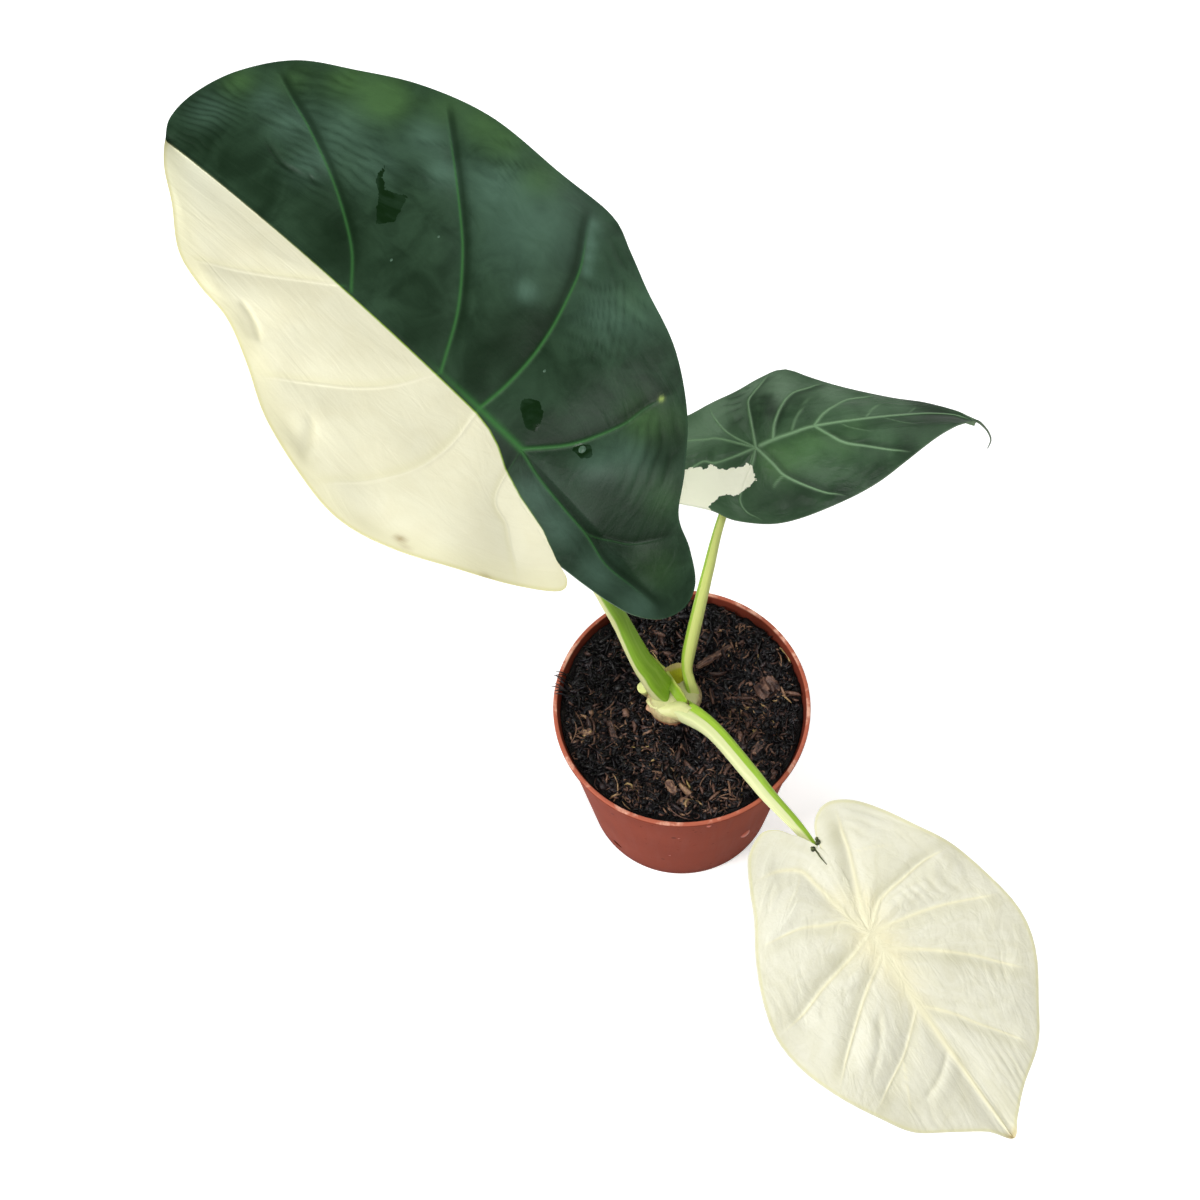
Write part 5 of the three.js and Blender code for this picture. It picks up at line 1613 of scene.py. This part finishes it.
def makeCorm(shape, material):
    # the profile turned about its axis; two slow sines, two lattice noises and one knob make it uneven
    line = smoothLine(shape["profile"], shape["rings"])
    line[:, 0] = np.maximum(line[:, 0], 0)
    line[0, 0] = line[-1, 0] = 0
    sides = shape["sides"]
    turn = np.linspace(0, 2 * math.pi, sides, endpoint=False)[None]
    radius = line[:, :1]
    uneven = 0.35 * np.sin(2 * turn + 0.6) + 0.3 * np.sin(3 * turn + line[:, 1:] * 0.2)
    wrinkle = 0.14 * latticeNoise(line[:, 1:] * 1.6, turn * 5, 1.0, 8)
    wrinkle = wrinkle + 0.2 * latticeNoise(line[:, 1:] * 0.2, turn * 11, 1.0, 9)
    bump = 1.6 * np.exp(-(((turn - 3.46) / 0.14) ** 2 + ((line[:, 1:] - 101) / 1.4) ** 2))
    reach = radius + (uneven + wrinkle + bump) * np.minimum(1, radius / 6)
    x = reach * np.cos(turn) + shape["centre"][0]
    y = reach * np.sin(turn) + shape["centre"][1]
    z = np.broadcast_to(line[:, 1:], x.shape)
    points = np.stack([x, y, z], -1).reshape(-1, 3)
    values = {"bump": np.minimum(1, bump).ravel()}
    makePiece("corm", points, gridFaces(len(line), sides, True), material, "corm", values)


def cormMaterial(look):
    # olive and tan blotches, darker rings and lengthwise creases, a reddish foot and a greener crown
    material, tree, surface = newMaterial("cormSkin", 0.6)
    place = objectPlace(tree)
    up = addNode(tree, "ShaderNodeSeparateXYZ", {0: place}).outputs["Z"]
    bands = noiseAt(tree, stretched(tree, place, (0.2, 0.2, 1.0)), 900.0, 3.0)
    creases = noiseAt(tree, stretched(tree, place, (1.0, 1.0, 0.15)), 520.0, 3.0)
    blotch = noiseAt(tree, place, 240.0, 3.0)
    colour = blendColour(tree, stepBetween(tree, blotch, 0.35, 0.65), look["olive"], look["tan"])
    colour = layered(tree, colour, [
        (stepBetween(tree, bands, 0.55, 0.72), look["ring"], 0.6),
        (stepBetween(tree, creases, 0.52, 0.7), look["ring"], 0.5),
        (stepBetween(tree, up, 0.1014, 0.0984), look["foot"]),
        (readValue(tree, "bump"), look["knob"], 0.8),
        (stepBetween(tree, up, 0.1036, 0.1052), look["crown"])])
    height = calc(tree, "SUBTRACT", plus(tree, bands, times(tree, blotch, 0.4)), creases)
    cover(tree, surface, colour, scaled(tree, blotch, 0.3, 0.4), (height, 0.0008, 0.6))
    return material


def makeStub(shape):
    # a short round peg with a rounded rim and a slightly hollow cut end
    foot, top = np.array(shape["stubFoot"], float), np.array(shape["stubTop"], float)
    axis = (top - foot) / np.linalg.norm(top - foot)
    side = np.cross(axis, (0, 0, 1))
    side = side / np.linalg.norm(side)
    other = np.cross(axis, side)
    length = np.linalg.norm(top - foot)
    r = shape["stubRadius"]
    sides = shape["stubSides"]
    profile = np.array([(0, 0), (r + 0.4, 0), (r + 0.2, 0.5 * length), (r, length - 0.7),
                        (r - 0.1, length - 0.25), (r - 0.4, length), (r - 0.9, length - 0.15),
                        (0.6, length - 0.55), (0, length - 0.6)])
    cut = np.repeat(profile[:, 1] > length - 0.8, sides).astype(float)
    turn = np.linspace(0, 2 * math.pi, sides, endpoint=False)
    points = (foot + profile[:, 1:, None] * axis
              + profile[:, :1, None] * (np.cos(turn)[:, None] * side + np.sin(turn)[:, None] * other))
    material, tree, surface = newMaterial("cutStalkEnd", 0.45)
    blotch = noiseAt(tree, objectPlace(tree), 700.0, 3.0)
    colour = blendColour(tree, readValue(tree, "cut"), shape["stubSide"], shape["stub"])
    colour = blendColour(tree, stepBetween(tree, blotch, 0.5, 0.7), colour, shape["stubSide"], 0.3)
    cover(tree, surface, colour, bump=(blotch, 0.0005, 0.4))
    makePiece("cutStalkStub", points.reshape(-1, 3), gridFaces(len(profile), sides, True), material,
              values={"cut": cut}, sharp=50)


makeCorm(cormShape, cormMaterial(cormShape))
makeStub(cormShape)


# Drops of water: on the large blade at x and y, and on the pot's wall at a turn and height above the
# ground, each with its radius and its own height
leafDrops = [(-23, -18, 1.6, 0.6), (95, -21, 0.7, 0.3), (87, -43, 0.6, 0.3), (12, -31, 0.7, 0.3)]
wallDrops = [(-57.5, 45, 2.6, 1.3), (-82, 95, 1.1, 0.6), (-96, 76, 0.6, 0.3), (-101, 40, 0.6, 0.3)]


dropGrid = (9, 24)  # steps from a drop's top to its edge, and round it
dropSink = 0.15  # how deep its edge lies in what it sits on
dropStretch = 1.2  # its width over its length


def makeDrops(name, places, material):
    # each drop is a dome: radius times the sine and height times the cosine of the angle from its top
    tops = np.linspace(0, math.pi / 2, dropGrid[0])[:, None]
    turn = np.linspace(0, 2 * math.pi, dropGrid[1], endpoint=False)[None]
    points, faces = [], []
    for centre, normal, radius, height in places:
        side = np.cross(normal, (0.3, 0.1, 1.0))
        side = side / np.linalg.norm(side)
        other = np.cross(normal, side)
        dome = (radius * np.sin(tops) * np.cos(turn))[..., None] * side
        dome = dome + (dropStretch * radius * np.sin(tops) * np.sin(turn))[..., None] * other
        dome = centre + dome + (height * np.cos(tops) - dropSink)[..., None] * normal
        foot = np.broadcast_to(centre - dropSink * normal, (1, turn.size, 3))
        dome = np.concatenate([dome, foot])
        faces.append(gridFaces(len(dome), turn.size, True, sum(len(p) for p in points)))
        points.append(dome.reshape(-1, 3))
    makePiece(name, np.concatenate(points), np.concatenate(faces), material, sharp=70)


def beadMaterial(name, colour, light):
    # a drop is an opaque dome in the tone of what it lies on, as if seen through the water, and a little
    # lighter in soft clouds of painted reflection
    material, tree, surface = newMaterial(name, 0.35, 0.3)
    ripples = noiseAt(tree, objectPlace(tree), 500.0, 1.0)
    cover(tree, surface, blendColour(tree, ripples, colour, light))
    return material


# the second tone of each drop is its painted reflection
makeDrops("leafDrops", [(*onBlade("largeLeafBlade", x, y), r, h) for x, y, r, h in leafDrops],
          beadMaterial("leafWater", tone(16, 44, 22), tone(96, 128, 106)))
makeDrops("wallDrops", [(*wallPlace(turn, z), r, h) for turn, z, r, h in wallDrops],
          beadMaterial("wallWater", tone(186, 84, 66), tone(190, 110, 92)))

# Torn knobs on both sides of the pale blade's notch
notchKnobs = [(-46.8, 3.4, 1.2, 1.4), (-47.8, 4.2, 0.8, 1.0), (-44.8, 0.2, 1.1, 1.3), (-45.7, -0.4, 0.7, 1.0)]


def knobMaterial():
    # dark and olive blotches
    material, tree, surface = newMaterial("tornEdge", 0.6)
    blotch = noiseAt(tree, objectPlace(tree), 900.0, 3.0)
    colour = blendColour(tree, stepBetween(tree, blotch, 0.4, 0.65), tone(44, 52, 24), tone(104, 112, 58))
    cover(tree, surface, colour, bump=(blotch, 0.0008, 0.8))
    return material


makeDrops("notchKnobs", [(*onBlade("paleLeafBlade", x, y), r, h) for x, y, r, h in notchKnobs],
          knobMaterial())


# Floor and light
def makeFloor():
    # a plain sheet, lifted to white only where the camera sees it
    mesh = bpy.data.meshes.new("floor")
    size = 3.0
    corners = [(-size, -size, 0), (size, -size, 0), (size, size, 0), (-size, size, 0)]
    mesh.from_pydata(corners, [], [(0, 1, 2, 3)])
    material, tree, surface = newMaterial("paleFloor", 0.9, 0.1)
    surface.inputs["Emission Color"].default_value = (1, 1, 1, 1)
    seen = addNode(tree, "ShaderNodeLightPath").outputs["Is Camera Ray"]
    tree.links.new(times(tree, seen, 0.4), surface.inputs["Emission Strength"])
    cloud = noiseAt(tree, objectPlace(tree), 3.0, 2.0)
    cover(tree, surface, blendColour(tree, cloud, tone(252, 252, 252), tone(254, 254, 254)))
    mesh.materials.append(material)
    floor = bpy.data.objects.new("floor", mesh)
    bpy.context.scene.collection.objects.link(floor)


lightTarget = (0, 0, 0.1)
lights = [
    {"name": "keyLight", "place": (-2.6, -1.0, 1.8), "size": 1.3, "power": 80},
    {"name": "backLight", "place": (1.3, 1.5, 2.2), "size": 1.7, "power": 20},
    {"name": "topLight", "place": (0.3, -1.2, 3.2), "size": 1.2, "power": 43},
]


def makeLights():
    # a white sky, bright to the camera and dim as a light, and square lamps turned to the target
    world = bpy.data.worlds.new("studio")
    world.use_nodes = True
    tree = world.node_tree
    sky = tree.nodes["Background"]
    sky.inputs["Color"].default_value = (1, 1, 1, 1)
    seen = addNode(tree, "ShaderNodeLightPath").outputs["Is Camera Ray"]
    tree.links.new(scaled(tree, seen, 0.8, 0.2), sky.inputs["Strength"])
    bpy.context.scene.world = world
    for light in lights:
        data = bpy.data.lights.new(light["name"], "AREA")
        data.energy = light["power"]
        data.size = light["size"]
        lamp = bpy.data.objects.new(light["name"], data)
        bpy.context.scene.collection.objects.link(lamp)
        away = Vector(light["place"]) - Vector(lightTarget)
        lamp.location = light["place"]
        lamp.rotation_euler = away.to_track_quat("Z", "Y").to_euler()


makeFloor()
makeLights()
bpy.context.scene.view_settings.view_transform = "Standard"
bpy.context.scene.view_settings.look = "None"
print("floor and light made")
